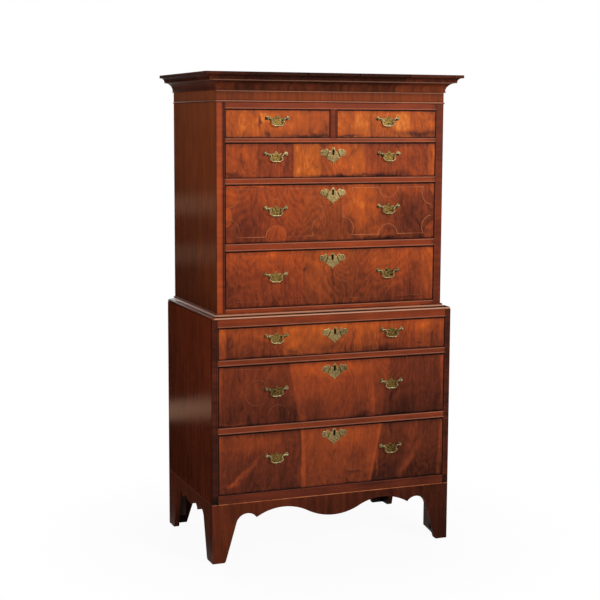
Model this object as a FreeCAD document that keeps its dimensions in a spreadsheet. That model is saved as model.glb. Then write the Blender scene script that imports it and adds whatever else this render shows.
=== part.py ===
"""A walnut chest-on-chest on bracket feet, as a cabinetmaker would take it apart.

Millimetres. +X is the viewer's right, the front faces -Y and +Z is up. The origin is on the floor,
under the middle of the whole piece.
"""
import FreeCAD, Part
import math
import os
import Sketcher
from types import SimpleNamespace

from FreeCAD import Placement, Rotation, Vector

document = FreeCAD.newDocument("chest_on_chest")
sheet = document.addObject("Spreadsheet::Sheet", "Sizes")

# ---------------------------------------------------------------- driving dimensions

DIMENSIONS = {
    # the two cases; the upper one stands back from the lower one at the front and on both sides
    "upper_width": 900,
    "setback": 30,
    "lower_depth": 576,
    "side_board": 20,
    "case_board": 16,
    "back_board": 12,
    "back_planks": 3,
    # front frame of stiles, rails and beads
    "facing": 8,
    "rail_depth": 60,
    "lower_stile": 23,
    "upper_stile": 31,
    "muntin": 26,
    "bead_radius": 3,
    "bead_relief": 2,
    # heights of the rails and of the openings between them, from the floor up
    "base_height": 221,
    "lower_bottom_rail": 34,
    "opening_one": 228,
    "rail_one": 25,
    "opening_two": 227,
    "rail_two": 23,
    "opening_three": 118,
    "lower_top_rail": 29,
    "upper_bottom_rail": 34,
    "opening_four": 210,
    "rail_four": 27,
    "opening_five": 214,
    "rail_five": 22,
    "opening_six": 128,
    "rail_six": 16,
    "opening_seven": 104,
    "upper_top_rail": 23,
    "frieze_height": 42,
    # inside the cases
    "runner_width": 45,
    "guide_height": 18,
    "dustboard": 8,
    "stop_width": 40,
    "stop_depth": 10,
    "stop_height": 5,
    # cornice profile, from the frieze up; a bead's radius is its height times its roundness
    "bead_roundness": 0.52,
    "cornice_bead": 5,
    "cornice_bead_out": 4,
    "cornice_cove": 31,
    "cornice_fillet": 3,
    "cornice_step": 2,
    "cornice_cavetto": 15,
    "cornice_lip": 4,
    "cornice_crown": 11,
    "frieze_bead": 6,
    "frieze_bead_step": 1.2,
    "dust_cover": 12,
    # moulding at the waist
    "waist_height": 20,
    "waist_nose": 8,
    "waist_fillet": 3,
    "waist_bead": 5,
    "waist_bead_out": 4,
    "waist_hollow_radius": 24,
    # bracket base
    "base_board": 20,
    "foot_width": 46,
    "foot_nip": 5,
    "foot_top": 94,
    "foot_rise": 152,
    "arch_cusp": 172,
    "cusp_height": 162,
    "small_arch_radius": 45,
    "big_arch_end": 370,
    "big_arch_rise": 170,
    "big_arch_radius": 206,
    "apron_drop": 141,
    "side_foot_width": 66,
    "side_foot_top": 110,
    "side_cusp": 190,
    "side_cusp_height": 157,
    "side_small_arch_radius": 44,
    "side_arch_end": 248,
    "side_arch_rise": 166,
    "side_arch_radius": 34,
    "side_drop": 158,
    "rear_foot_width": 47,
    "rear_foot_top": 98,
    "block": 34,
    "block_foot_gap": 40,
    "block_top_gap": 12,
    # the larger block of the right front foot, cut away below
    "large_block": 48,
    "large_block_foot_gap": 5,
    "large_block_cut": 36,
    # drawers
    "drawer_front": 20,
    "drawer_side": 10,
    "drawer_back": 10,
    "drawer_bottom": 7,
    "bottom_rise": 8,
    "drawer_end_gap": 14,
    "gap_below": 0.3,
    "gap_above": 2.2,
    "gap_beside": 1.2,
    "stop_gap": 0.3,
    "side_drop_below_front": 6,
    "tail_lap": 8,
    "tail_pitch": 52,
    "tail_width": 26,
    "tail_flare": 4,
    # brasses; the plate's lobe is how far it reaches past each post
    "plate_lobe": 8,
    "plate_height": 50,
    "plate_thickness": 1.6,
    "escutcheon_width": 101,
    "escutcheon_height": 65,
    "keyhole_radius": 3.2,
    "keyhole_slot": 3.4,
    "keyhole_length": 18,
    "keyhole_below_top": 16,
    "post_spacing": 79,
    "post_rise": 15,
    "rose_radius": 6.4,
    "rose_thickness": 2.2,
    "neck_radius": 2.8,
    "neck_length": 6,
    "ball_radius": 4.6,
    "shank_radius": 2.4,
    "shank_clearance": 0.3,
    "shank_beyond": 7,
    "nut_size": 10,
    "nut_thickness": 3.5,
    "nut_clearance": 0.05,
    "bail_pin": 1.5,
    "bail_clearance": 0.05,
    "bail_pin_depth": 2.3,
    "bail_wire": 1.9,
    "bail_bend": 3.8,
    "bail_shoulder": 28,
    "bail_waist": 19,
    "bail_waist_drop": 9.9,
    "bail_hip": 26,
    "bail_hip_drop": 18.2,
    "bail_foot": 14,
    "bail_drop": 27.5,
    # locks
    "lock_width": 64,
    "lock_height": 44,
    "lock_depth": 12,
    "bolt_width": 24,
    "bolt_thickness": 4,
    "bolt_height": 26,
    "bolt_clearance": 0.1,
    "bolt_sink": 1,
    "bolt_travel": 8,
    "mortise_margin": 1.5,
    # how far a hole or a mitre cut runs on past the wood or metal that it cuts
    "overcut": 1,
    # places of the brasses: how far out the handles sit from the middle of the case, how far each
    # plate's middle rises above the rail below it, and how far each escutcheon's drops below the
    # rail above it
    "handle_out_lower": 232,
    "handle_out_upper": 225,
    "small_handle_out": 219,
    "handle_rise_one": 122,
    "handle_rise_two": 119,
    "handle_rise_three": 66,
    "handle_rise_four": 107,
    "handle_rise_five": 112,
    "handle_rise_six": 72,
    "handle_rise_seven": 57,
    "escutcheon_drop_one": 40,
    "escutcheon_drop_two": 45,
    "escutcheon_drop_three": 48,
    "escutcheon_drop_four": 47,
    "escutcheon_drop_five": 47,
    "escutcheon_drop_six": 50,
}


class Size:
    """A length that knows its value and the spreadsheet expression it comes from."""

    def __init__(self, value, text):
        self.value = value
        self.text = text

    def combine(self, other, sign, value):
        return Size(value, "({} {} {})".format(self.text, sign, other.text))

    def __add__(self, other):
        other = length(other)
        return self.combine(other, "+", self.value + other.value)

    def __sub__(self, other):
        other = length(other)
        return self.combine(other, "-", self.value - other.value)

    def __mul__(self, other):
        other = length(other)
        return self.combine(other, "*", self.value * other.value)

    def __truediv__(self, other):
        other = length(other)
        return self.combine(other, "/", self.value / other.value)

    def __neg__(self):
        return Size(-self.value, "(-1 * {})".format(self.text))

    def __radd__(self, other):
        return length(other) + self

    def __rsub__(self, other):
        return length(other) - self

    def __rmul__(self, other):
        return length(other) * self


def length(number):
    """A Size from a Size or a plain number."""
    return number if isinstance(number, Size) else Size(float(number), repr(number))


def fill_sheet():
    """Writes the dimensions into the sheet and reads them back as Sizes."""
    for row, (name, number) in enumerate(DIMENSIONS.items(), start=1):
        sheet.set("A{}".format(row), name)
        sheet.set("B{}".format(row), str(number))
        sheet.setAlias("B{}".format(row), name)
    document.recompute()
    return SimpleNamespace(**{
        name: Size(float(sheet.get(name)), "Sizes." + name) for name in DIMENSIONS
    })


dim = fill_sheet()
ZERO = length(0)
SEAM_ANGLE = 45  # keeps the seam of a ball clear of the holes and necks that meet it

# ---------------------------------------------------------------- places worked out from them

CORNICE_OUT = (dim.cornice_bead_out + dim.cornice_cove + dim.cornice_step
               + dim.cornice_cavetto + dim.cornice_lip)
CORNICE_HEIGHT = (dim.cornice_bead + dim.cornice_cove + dim.cornice_fillet
                  + dim.cornice_cavetto + dim.cornice_crown)
BACK = (dim.lower_depth + CORNICE_OUT - dim.setback) / 2
LOWER_FRONT = BACK - dim.lower_depth
UPPER_FRONT = LOWER_FRONT + dim.setback
BACK_INSIDE = BACK - dim.back_board
UPPER_HALF = dim.upper_width / 2
LOWER_HALF = UPPER_HALF + dim.setback

WAIST = (dim.base_height + dim.lower_bottom_rail + dim.opening_one + dim.rail_one
         + dim.opening_two + dim.rail_two + dim.opening_three + dim.lower_top_rail)
FRIEZE = (WAIST + dim.upper_bottom_rail + dim.opening_four + dim.rail_four + dim.opening_five
          + dim.rail_five + dim.opening_six + dim.rail_six + dim.opening_seven
          + dim.upper_top_rail)
CORNICE = FRIEZE + dim.frieze_height
TOP = CORNICE + CORNICE_HEIGHT
CASE_TOP = TOP - dim.cornice_crown - dim.dust_cover

# rails, openings and long drawers run from the bottom up
LOWER = SimpleNamespace(
    name="lower", half=LOWER_HALF, front=LOWER_FRONT, stile=dim.lower_stile,
    bottom=dim.base_height, top=WAIST, bead_foot=dim.base_height,
    rails=[dim.lower_bottom_rail, dim.rail_one, dim.rail_two, dim.lower_top_rail],
    openings=[dim.opening_one, dim.opening_two, dim.opening_three],
    handle_out=dim.handle_out_lower,
    long_drawers=[
        ("lower_drawer_3", dim.handle_rise_one, dim.escutcheon_drop_one),
        ("lower_drawer_2", dim.handle_rise_two, dim.escutcheon_drop_two),
        ("lower_drawer_1", dim.handle_rise_three, dim.escutcheon_drop_three),
    ],
)
UPPER = SimpleNamespace(
    name="upper", half=UPPER_HALF, front=UPPER_FRONT, stile=dim.upper_stile,
    bottom=WAIST, top=FRIEZE, bead_foot=WAIST + dim.waist_height,
    rails=[dim.upper_bottom_rail, dim.rail_four, dim.rail_five, dim.rail_six,
           dim.upper_top_rail],
    openings=[dim.opening_four, dim.opening_five, dim.opening_six, dim.opening_seven],
    handle_out=dim.handle_out_upper,
    long_drawers=[
        ("upper_drawer_3", dim.handle_rise_four, dim.escutcheon_drop_four),
        ("upper_drawer_2", dim.handle_rise_five, dim.escutcheon_drop_five),
        ("upper_drawer_1", dim.handle_rise_six, dim.escutcheon_drop_six),
    ],
)


def levels(case):
    """The bottom and top of each rail of a case, from the lowest rail up."""
    spans = []
    level = case.bottom
    for rail, opening in zip(case.rails, case.openings + [ZERO]):
        spans.append((level, level + rail))
        level = level + rail + opening
    return spans


def opening_half(case):
    """Half the clear width between the stiles of a case."""
    return case.half - case.stile


# ---------------------------------------------------------------- building blocks

nodes = []


def node(name, pieces):
    """Groups finished pieces under the name of one sub-part."""
    if len(pieces) == 1:
        part = pieces[0]
    else:
        part = document.addObject("Part::Compound", name)
        part.Links = pieces
    part.Label = name
    nodes.append(part)
    return part


def bind_place(part, place):
    """Ties an object's position to three Sizes."""
    for axis, value in zip("xyz", place):
        part.setExpression("Placement.Base." + axis, value.text)


def box(name, low, high):
    """A board between two opposite corners, each given as x, y and z."""
    board = document.addObject("Part::Box", name)
    for side, start, end in zip(("Length", "Width", "Height"), low, high):
        board.setExpression(side, (end - start).text)
    bind_place(board, low)
    return board


def turned_box(name, place, angle, long, wide, tall):
    """A box turned about the vertical through its own corner."""
    block = document.addObject("Part::Box", name)
    block.Placement = Placement(Vector(), Rotation(Vector(0, 0, 1), angle))
    for side, value in zip(("Length", "Width", "Height"), (long, wide, tall)):
        block.setExpression(side, value.text)
    bind_place(block, place)
    return block


def rod(name, place, direction, long, radius):
    """A cylinder from a place along a direction."""
    cylinder = document.addObject("Part::Cylinder", name)
    cylinder.Placement = Placement(Vector(), Rotation(Vector(0, 0, 1), Vector(*direction)))
    cylinder.setExpression("Height", long.text)
    cylinder.setExpression("Radius", radius.text)
    bind_place(cylinder, place)
    return cylinder


def ball(name, place, radius):
    """A sphere about a place."""
    sphere = document.addObject("Part::Sphere", name)
    sphere.Placement = Placement(Vector(), Rotation(Vector(0, 0, 1), SEAM_ANGLE))
    sphere.setExpression("Radius", radius.text)
    bind_place(sphere, place)
    return sphere


def fuse(name, pieces):
    """One solid from pieces that meet."""
    joined = document.addObject("Part::MultiFuse", name)
    joined.Shapes = pieces
    return joined


def cut(name, base, tools):
    """A piece with one or more tools taken out of it."""
    for index, tool in enumerate(tools):
        step = document.addObject("Part::Cut", "{}_{}".format(name, index))
        step.Base = base
        step.Tool = tool
        base = step
    return base


def arc_about(start, end, radius, clockwise):
    """The circle of a given radius through two points, and the angles where the arc begins and ends."""
    chord = end.sub(start)
    half_chord = chord.Length / 2
    rise = math.sqrt(max(radius * radius - half_chord * half_chord, 0))
    across = Vector(-chord.y, chord.x, 0).normalize()
    centre = start.add(end).multiply(0.5).add(across.multiply(-rise if clockwise else rise))
    first, last = (end, start) if clockwise else (start, end)
    begin = math.atan2(first.y - centre.y, first.x - centre.x)
    finish = math.atan2(last.y - centre.y, last.x - centre.x)
    if finish < begin:
        finish += 2 * math.pi
    return Part.ArcOfCircle(Part.Circle(centre, Vector(0, 0, 1), radius), begin, finish)


def draw_outline(sketch, corners):
    """Draws a closed outline in a sketch and ties every corner to the sheet.

    A corner is (across, up), reached by a straight edge, or (across, up, radius, clockwise),
    reached by an arc of less than half a turn.
    """
    ends, constraints, texts = [], [], []

    def tie(constraint, text):
        constraints.append(constraint)
        texts.append(text)

    for index, corner in enumerate(corners):
        before = corners[index - 1]
        start = Vector(before[0].value, before[1].value, 0)
        end = Vector(corner[0].value, corner[1].value, 0)
        if len(corner) == 2:
            edge = sketch.addGeometry(Part.LineSegment(start, end))
            ends.append((edge, 1, 2))
        else:
            radius, clockwise = corner[2], corner[3]
            edge = sketch.addGeometry(arc_about(start, end, radius.value, clockwise))
            ends.append((edge, 2, 1) if clockwise else (edge, 1, 2))
            tie(Sketcher.Constraint("Radius", edge, radius.value), radius.text)
    for index, corner in enumerate(corners):
        edge, _, last = ends[index]
        following, first, _ = ends[(index + 1) % len(corners)]
        tie(Sketcher.Constraint("Coincident", edge, last, following, first), None)
        tie(Sketcher.Constraint("DistanceX", -1, 1, edge, last, corner[0].value), corner[0].text)
        tie(Sketcher.Constraint("DistanceY", -1, 1, edge, last, corner[1].value), corner[1].text)
    sketch.addConstraint(constraints)
    for number, text in enumerate(texts):
        if text is not None:
            sketch.setExpression("Constraints[{}]".format(number), text)


def padded(name, corners, long, place, angle):
    """A body with an upright outline, padded sideways.

    At angle 0 the outline lies across +Y and the pad runs along +X; the angle turns both about
    the vertical.
    """
    body = document.addObject("PartDesign::Body", name)
    sketch = body.newObject("Sketcher::SketchObject", name + "_outline")
    plane = next(item for item in body.Origin.OriginFeatures if item.Role == "YZ_Plane")
    sketch.AttachmentSupport = [(plane, "")]
    sketch.MapMode = "FlatFace"
    draw_outline(sketch, corners)
    pad = body.newObject("PartDesign::Pad", name + "_pad")
    pad.Profile = sketch
    pad.setExpression("Length", long.text)
    body.Placement = Placement(Vector(), Rotation(Vector(0, 0, 1), angle))
    bind_place(body, place)
    return body


def moulding_round_case(name, profile, half, front, level, reach, height):
    """A moulding across the front and down both sides of a case, mitred at the front corners."""
    corner_left = (-half, front, level - dim.overcut)
    corner_right = (half, front, level - dim.overcut)
    mitre = (reach * 2, reach * 2, height + dim.overcut * 2)
    along_side = BACK - front + reach

    across = padded(name + "_front_length", profile, (half + reach) * 2,
                    (half + reach, front, level), 180)
    left = padded(name + "_left_length", profile, along_side, (-half, front - reach, level), 90)
    right = padded(name + "_right_length", profile, along_side, (half, BACK, level), -90)
    return [
        cut(name + "_front", across, [
            turned_box(name + "_mitre_a", corner_right, -45, *mitre),
            turned_box(name + "_mitre_b", corner_left, 135, *mitre),
        ]),
        cut(name + "_left", left, [turned_box(name + "_mitre_c", corner_left, 225, *mitre)]),
        cut(name + "_right", right, [turned_box(name + "_mitre_d", corner_right, 225, *mitre)]),
    ]


# ---------------------------------------------------------------- the two cases

def case_sides(case, top):
    """The two side boards of a case."""
    inner = case.half - dim.side_board
    behind = case.front + dim.facing
    return [
        box(case.name + "_left_board", (-case.half, behind, case.bottom), (-inner, BACK, top)),
        box(case.name + "_right_board", (inner, behind, case.bottom), (case.half, BACK, top)),
    ]


def case_back(case, top):
    """Upright planks that close the back between the sides."""
    inner = case.half - dim.side_board
    count = round(dim.back_planks.value)
    plank = inner * 2 / count
    return [
        box("{}_back_plank_{}".format(case.name, index + 1),
            (-inner + plank * index, BACK_INSIDE, case.bottom),
            (-inner + plank * (index + 1), BACK, top))
        for index in range(count)
    ]


def edge_bead(name, case, low, high, at, side):
    """A half-round bead along one edge of a rail or stile; side says which way the wood lies."""
    level = low[0].text != high[0].text
    out = case.front + dim.bead_radius - dim.bead_relief
    middle = at + dim.bead_radius * side
    if level:
        return rod(name, (low[0], out, middle), (1, 0, 0), high[0] - low[0], dim.bead_radius)
    return rod(name, (middle, out, low[2]), (0, 0, 1), high[2] - low[2], dim.bead_radius)


def beaded_rail(name, case, low, high, mortises, beads):
    """A rail between the stiles, let into the sides behind the facing, with beads along its edges."""
    opening = opening_half(case)
    inner = case.half - dim.side_board
    pieces = [
        box(name + "_front", (-opening, case.front, low), (opening, case.front + dim.facing, high)),
        box(name + "_body", (-inner, case.front + dim.facing, low),
            (inner, case.front + dim.rail_depth, high)),
    ]
    left, right = (-opening, case.front, low), (opening, case.front, low)
    if "low" in beads:
        pieces.append(edge_bead(name + "_low_bead", case, left, right, low, 1))
    if "high" in beads:
        pieces.append(edge_bead(name + "_high_bead", case, left, right, high, -1))
    return cut(name, fuse(name + "_blank", pieces), mortises)


def beaded_stile(name, case, side, top):
    """The facing on the front edge of one side, with a bead along the openings.

    The bead of the upper case starts above the waist moulding.
    """
    opening = opening_half(case)
    near, far = (opening, case.half) if side > 0 else (-case.half, -opening)
    edge = near if side > 0 else far
    low, high = (near, case.front, case.bottom), (far, case.front + dim.facing, top)
    bead_low, bead_high = (edge, case.front, case.bead_foot), (edge, case.front, top)
    return fuse(name, [
        box(name + "_strip", low, high),
        edge_bead(name + "_bead", case, bead_low, bead_high, edge, side),
    ])


def lock_mortise(name, case, rail_bottom):
    """The slot in the underside of a rail that a lock bolt rises into."""
    half_width = dim.bolt_width / 2 + dim.mortise_margin
    bolt_front = case.front + dim.drawer_front + (dim.lock_depth - dim.bolt_thickness) / 2
    return box(name, (-half_width, bolt_front - dim.mortise_margin, rail_bottom - dim.overcut),
               (half_width, bolt_front + dim.bolt_thickness + dim.mortise_margin,
                rail_bottom + dim.bolt_travel + dim.mortise_margin))


def front_frame(case):
    """Stiles, rails and, in the upper case, the muntin between the two short drawers."""
    spans = levels(case)
    pieces = [
        beaded_stile(case.name + "_left_stile", case, -1, case.top),
        beaded_stile(case.name + "_right_stile", case, 1, case.top),
    ]
    for index, (low, high) in enumerate(spans):
        name = "{}_rail_{}".format(case.name, index + 1)
        beads = {"high"} if index == 0 else {"low", "high"}
        if index == len(spans) - 1:
            beads = {"low"}
        locked = 0 < index <= len(case.long_drawers)
        mortises = [lock_mortise(name + "_mortise", case, low)] if locked else []
        pieces.append(beaded_rail(name, case, low, high, mortises, beads))
    if case is UPPER:
        low, high = spans[-2][1], spans[-1][0]
        half = dim.muntin / 2
        left, right = (-half, case.front, low), (half, case.front, high)
        pieces.append(fuse("muntin", [
            box("muntin_post", left, (half, case.front + dim.rail_depth, high)),
            edge_bead("muntin_left_bead", case, left, (-half, case.front, high), -half, 1),
            edge_bead("muntin_right_bead", case, (half, case.front, low), right, half, -1),
        ]))
    return pieces


def runners(case):
    """Runners and kickers behind the rails, dustboards between them, and guides at the sides."""
    inner = case.half - dim.side_board
    opening = opening_half(case)
    behind = case.front + dim.rail_depth
    spans = levels(case)
    centre_half = dim.muntin / 2 + dim.runner_width
    pieces = []
    for index, (low, high) in enumerate(spans):
        name = "{}_{}".format(case.name, index + 1)
        last = index == len(spans) - 1
        top = high - dim.case_board if last and case is LOWER else high
        for side, start, end in (("left", -inner, dim.runner_width - inner),
                                 ("right", inner - dim.runner_width, inner)):
            if index > 0:
                pieces.append(box("runner_{}_{}".format(side, name),
                                  (start, behind, low), (end, BACK_INSIDE, top)))
        divided = case is UPPER and index >= len(case.long_drawers)
        if divided:
            pieces.append(box("runner_centre_" + name, (-centre_half, behind, low),
                              (centre_half, BACK_INSIDE, top)))
        if 0 < index < len(spans) - 1:
            middle = (low + high) / 2
            wide = inner - dim.runner_width
            spread = [(-wide, -centre_half), (centre_half, wide)] if divided else [(-wide, wide)]
            for number, (start, end) in enumerate(spread):
                pieces.append(box("dustboard_{}_{}".format(name, number),
                                  (start, behind, middle - dim.dustboard / 2),
                                  (end, BACK_INSIDE, middle + dim.dustboard / 2)))
        if not last:
            for side, start, end in (("left", -inner, -opening), ("right", opening, inner)):
                pieces.append(box("guide_{}_{}".format(side, name),
                                  (start, case.front + dim.facing, high),
                                  (end, BACK_INSIDE, high + dim.guide_height)))
    if case is UPPER:
        floor = spans[-2][1]
        half = dim.muntin / 2
        pieces.append(box("guide_centre", (-half, behind, floor),
                          (half, BACK_INSIDE, floor + dim.guide_height)))
    return pieces


def drawer_stops(case):
    """Small blocks on the rails that the drawer fronts close against."""
    start = case.front + dim.drawer_front + dim.stop_gap
    pieces = []
    for index, (_, level) in enumerate(levels(case)[:-1]):
        for side in (-1, 1):
            middle = opening_half(case) * side / 2
            pieces.append(box(
                "{}_stop_{}_{}".format(case.name, index + 1, "left" if side < 0 else "right"),
                (middle - dim.stop_width / 2, start, level),
                (middle + dim.stop_width / 2, start + dim.stop_depth, level + dim.stop_height)))
    return pieces


def build_cases():
    """Carcases, front frames, runners and stops of both cases."""
    lower_inner = LOWER.half - dim.side_board
    upper_inner = UPPER.half - dim.side_board
    node("lower_sides", case_sides(LOWER, WAIST))
    node("upper_sides", case_sides(UPPER, CASE_TOP))
    node("lower_top_and_bottom", [
        box("lower_bottom_board", (-lower_inner, LOWER.front + dim.rail_depth, dim.base_height),
            (lower_inner, BACK_INSIDE, dim.base_height + dim.lower_bottom_rail)),
        box("lower_top_board",
            (-lower_inner, LOWER.front + dim.rail_depth, WAIST - dim.case_board),
            (lower_inner, BACK_INSIDE, WAIST)),
    ])
    node("upper_top_and_bottom", [
        box("upper_bottom_board", (-upper_inner, UPPER.front + dim.rail_depth, WAIST),
            (upper_inner, BACK_INSIDE, WAIST + dim.upper_bottom_rail)),
        box("upper_top_board",
            (-upper_inner, UPPER.front + dim.rail_depth, CASE_TOP - dim.case_board),
            (upper_inner, BACK_INSIDE, CASE_TOP)),
        box("dust_cover", (-UPPER.half, UPPER.front, CASE_TOP),
            (UPPER.half, BACK, CASE_TOP + dim.dust_cover)),
    ])
    node("lower_back_boards", case_back(LOWER, WAIST))
    node("upper_back_boards", case_back(UPPER, CASE_TOP))
    node("lower_front_frame", front_frame(LOWER))
    node("upper_front_frame", front_frame(UPPER))
    node("lower_runners", runners(LOWER))
    node("upper_runners", runners(UPPER))
    node("drawer_stops", drawer_stops(LOWER) + drawer_stops(UPPER))


# ---------------------------------------------------------------- frieze, cornice and waist

def build_frieze():
    """The frieze board across the front and the rail that backs it."""
    inner = UPPER.half - dim.side_board
    node("frieze", [
        box("frieze_board", (-UPPER.half, UPPER.front, FRIEZE),
            (UPPER.half, UPPER.front + dim.facing, CASE_TOP)),
        box("frieze_rail", (-inner, UPPER.front + dim.facing, FRIEZE),
            (inner, UPPER.front + dim.rail_depth, CASE_TOP)),
    ])


def build_cornice():
    """Bead, cove, cavetto and crown fillet in mitred lengths, and the bead under the frieze."""
    cove_out = dim.cornice_bead_out + dim.cornice_cove
    cove_top = dim.cornice_bead + dim.cornice_cove
    step_out = cove_out + dim.cornice_step
    step_top = cove_top + dim.cornice_fillet
    cavetto_out = step_out + dim.cornice_cavetto
    cavetto_top = step_top + dim.cornice_cavetto
    profile = [
        (ZERO, CORNICE_HEIGHT),
        (ZERO, ZERO),
        (dim.cornice_bead_out, ZERO),
        (dim.cornice_bead_out, dim.cornice_bead, dim.cornice_bead * dim.bead_roundness, False),
        (cove_out, cove_top, dim.cornice_cove, True),
        (step_out, cove_top),
        (step_out, step_top),
        (cavetto_out, cavetto_top, dim.cornice_cavetto, True),
        (CORNICE_OUT, cavetto_top),
        (CORNICE_OUT, CORNICE_HEIGHT),
    ]
    bead = [
        (ZERO, dim.frieze_bead),
        (ZERO, ZERO),
        (dim.frieze_bead_step, ZERO),
        (dim.frieze_bead_step, dim.frieze_bead, dim.frieze_bead * dim.bead_roundness, False),
    ]
    crown = moulding_round_case("cornice", profile, UPPER.half, UPPER.front, CORNICE,
                                CORNICE_OUT, CORNICE_HEIGHT)
    beads = moulding_round_case("frieze_bead", bead, UPPER.half, UPPER.front, FRIEZE,
                                dim.frieze_bead_step + dim.frieze_bead, dim.frieze_bead)
    node("cornice", crown + beads)


def build_waist():
    """The moulding on top of the lower case that the upper case stands inside."""
    reach = dim.setback
    nose_edge = reach - dim.waist_nose / 2
    bead_foot = dim.waist_height - dim.waist_bead
    profile = [
        (ZERO, dim.waist_height),
        (ZERO, ZERO),
        (nose_edge, ZERO),
        (nose_edge, dim.waist_nose, dim.waist_nose * dim.bead_roundness, False),
        (nose_edge - dim.waist_fillet, dim.waist_nose + dim.waist_fillet / 2),
        (dim.waist_bead_out, bead_foot, dim.waist_hollow_radius, True),
        (dim.waist_bead_out, dim.waist_height, dim.waist_bead * dim.bead_roundness, False),
    ]
    node("waist_moulding", moulding_round_case("waist", profile, UPPER.half, UPPER.front, WAIST,
                                               reach, dim.waist_height))


# ---------------------------------------------------------------- bracket base

def half_apron(half, foot_width, foot_top, cusp, cusp_height, small_radius, arch_end, arch_rise,
               arch_radius):
    """The lower edge from a foot's outer corner to the end of its arch, measured from the middle."""
    return [
        (half, ZERO),
        (half - foot_width, ZERO),
        (half - foot_width - dim.foot_nip, dim.foot_nip),
        (half - foot_top, dim.foot_rise),
        (half - cusp, cusp_height, small_radius, False),
        (half - arch_end, arch_rise, arch_radius, False),
    ]


def mirror(corners):
    """The same edge on the other side of the middle, from its last corner back to its first."""
    turned = []
    for index in range(len(corners) - 1, -1, -1):
        corner = corners[index]
        arrival = corners[index + 1][2:] if index + 1 < len(corners) else ()
        turned.append((-corner[0], corner[1]) + tuple(arrival))
    return turned


def apron_outline(half_edge, drop, trim):
    """A whole base board: two feet, their arches and the drop between them, less a trim at one end."""
    half = half_edge[0][0]
    arch_end, arch_rise = half_edge[-1][0], half_edge[-1][1]
    sagitta = arch_rise - drop
    drop_radius = (arch_end * arch_end + sagitta * sagitta) / (sagitta * 2)
    trimmed = -half + trim
    return (half_edge + [(-arch_end, arch_rise, drop_radius, True)] + mirror(half_edge)[1:-1]
            + [(trimmed, ZERO), (trimmed, dim.base_height), (half, dim.base_height)])


def build_base():
    """Front and side boards cut to bracket feet, rear brackets and the glue blocks behind them."""
    inner = LOWER_HALF - dim.base_board
    side_half = dim.lower_depth / 2
    middle = LOWER_FRONT + side_half
    front_edge = half_apron(LOWER_HALF, dim.foot_width, dim.foot_top, dim.arch_cusp,
                            dim.cusp_height, dim.small_arch_radius, dim.big_arch_end,
                            dim.big_arch_rise, dim.big_arch_radius)
    side_edge = half_apron(side_half, dim.side_foot_width, dim.side_foot_top, dim.side_cusp,
                           dim.side_cusp_height, dim.side_small_arch_radius, dim.side_arch_end,
                           dim.side_arch_rise, dim.side_arch_radius)
    front = apron_outline(front_edge, dim.apron_drop, ZERO)
    side = apron_outline(side_edge, dim.side_drop, dim.base_board)
    pieces = [
        padded("base_front", front, dim.base_board, (ZERO, LOWER_FRONT + dim.base_board, ZERO), -90),
        padded("base_left", side, dim.base_board, (-LOWER_HALF, middle, ZERO), 0),
        padded("base_right", side, dim.base_board, (inner, middle, ZERO), 0),
    ]
    for name, sign in (("left", -1), ("right", 1)):
        bracket = [
            (inner * sign, ZERO),
            (inner * sign, dim.base_height),
            ((inner - dim.rear_foot_top) * sign, dim.base_height),
            ((inner - dim.rear_foot_top) * sign, dim.foot_rise),
            ((inner - dim.rear_foot_width) * sign, ZERO),
        ]
        pieces.append(padded("rear_bracket_" + name, bracket, dim.base_board,
                             (ZERO, BACK, ZERO), -90))
    node("bracket_base", pieces)

    low, high = dim.block_foot_gap, dim.base_height - dim.block_top_gap
    ahead, behind = LOWER_FRONT + dim.base_board, BACK - dim.base_board
    left, right = dim.block - inner, inner - dim.block
    large_low, large_side = dim.large_block_foot_gap, inner - dim.large_block
    large_outline = [
        (inner, large_low),
        (inner, high),
        (large_side, high),
        (large_side, large_low + dim.large_block_cut),
        (large_side + dim.large_block_cut, large_low),
    ]
    node("glue_blocks", [
        box("block_front_left", (-inner, ahead, low), (left, ahead + dim.block, high)),
        padded("block_front_right", large_outline, dim.large_block,
               (ZERO, ahead + dim.large_block, ZERO), -90),
        box("block_rear_left", (-inner, behind - dim.block, low), (left, behind, high)),
        box("block_rear_right", (right, behind - dim.block, low), (inner, behind, high)),
    ])


# ---------------------------------------------------------------- drawer boxes

def tails(shoulder, tip, low, high):
    """The dovetails on one end of a drawer side, from the bottom up."""
    count = max(2, round((high - low).value / dim.tail_pitch.value))
    pitch = (high - low) / count
    narrow = dim.tail_width / 2 - dim.tail_flare
    wide = dim.tail_width / 2
    corners = []
    for index in range(count):
        middle = low + pitch * (index + 0.5)
        corners += [(shoulder, middle - narrow), (tip, middle - wide),
                    (tip, middle + wide), (shoulder, middle + narrow)]
    return corners


def side_outline(front, back, low, high, floor):
    """A drawer side seen from the side, dovetailed into the front and through the back."""
    shoulder = front + dim.drawer_front
    rear_shoulder = back - dim.drawer_back
    ahead = tails(shoulder, front + dim.tail_lap, low, high)
    behind = tails(rear_shoulder, back, floor, high)
    return ([(shoulder, low)] + ahead + [(shoulder, high), (rear_shoulder, high)]
            + list(reversed(behind)) + [(rear_shoulder, floor), (back, floor), (back, low)])


def keyhole(name, front, top_tip, depth):
    """A round hole with a slot below it, long enough to pass through a given depth."""
    centre = top_tip - dim.keyhole_below_top + dim.keyhole_radius
    slot_end = centre + dim.keyhole_radius - dim.keyhole_length
    half = dim.keyhole_slot / 2
    return fuse(name, [
        rod(name + "_round", (ZERO, front, centre), (0, 1, 0), depth, dim.keyhole_radius),
        box(name + "_slot", (-half, front, slot_end), (half, front + depth, centre)),
    ])


# ---------------------------------------------------------------- brasses

def scaled(points, width, height):
    """An outline given in hundredths of a width and a height."""
    corners = []
    for point in points:
        place = (width * point[0] / 100, height * point[1] / 100)
        if len(point) == 2:
            corners.append(place)
        else:
            corners.append(place + (width * point[2] / 100, point[3]))
    return corners


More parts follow.
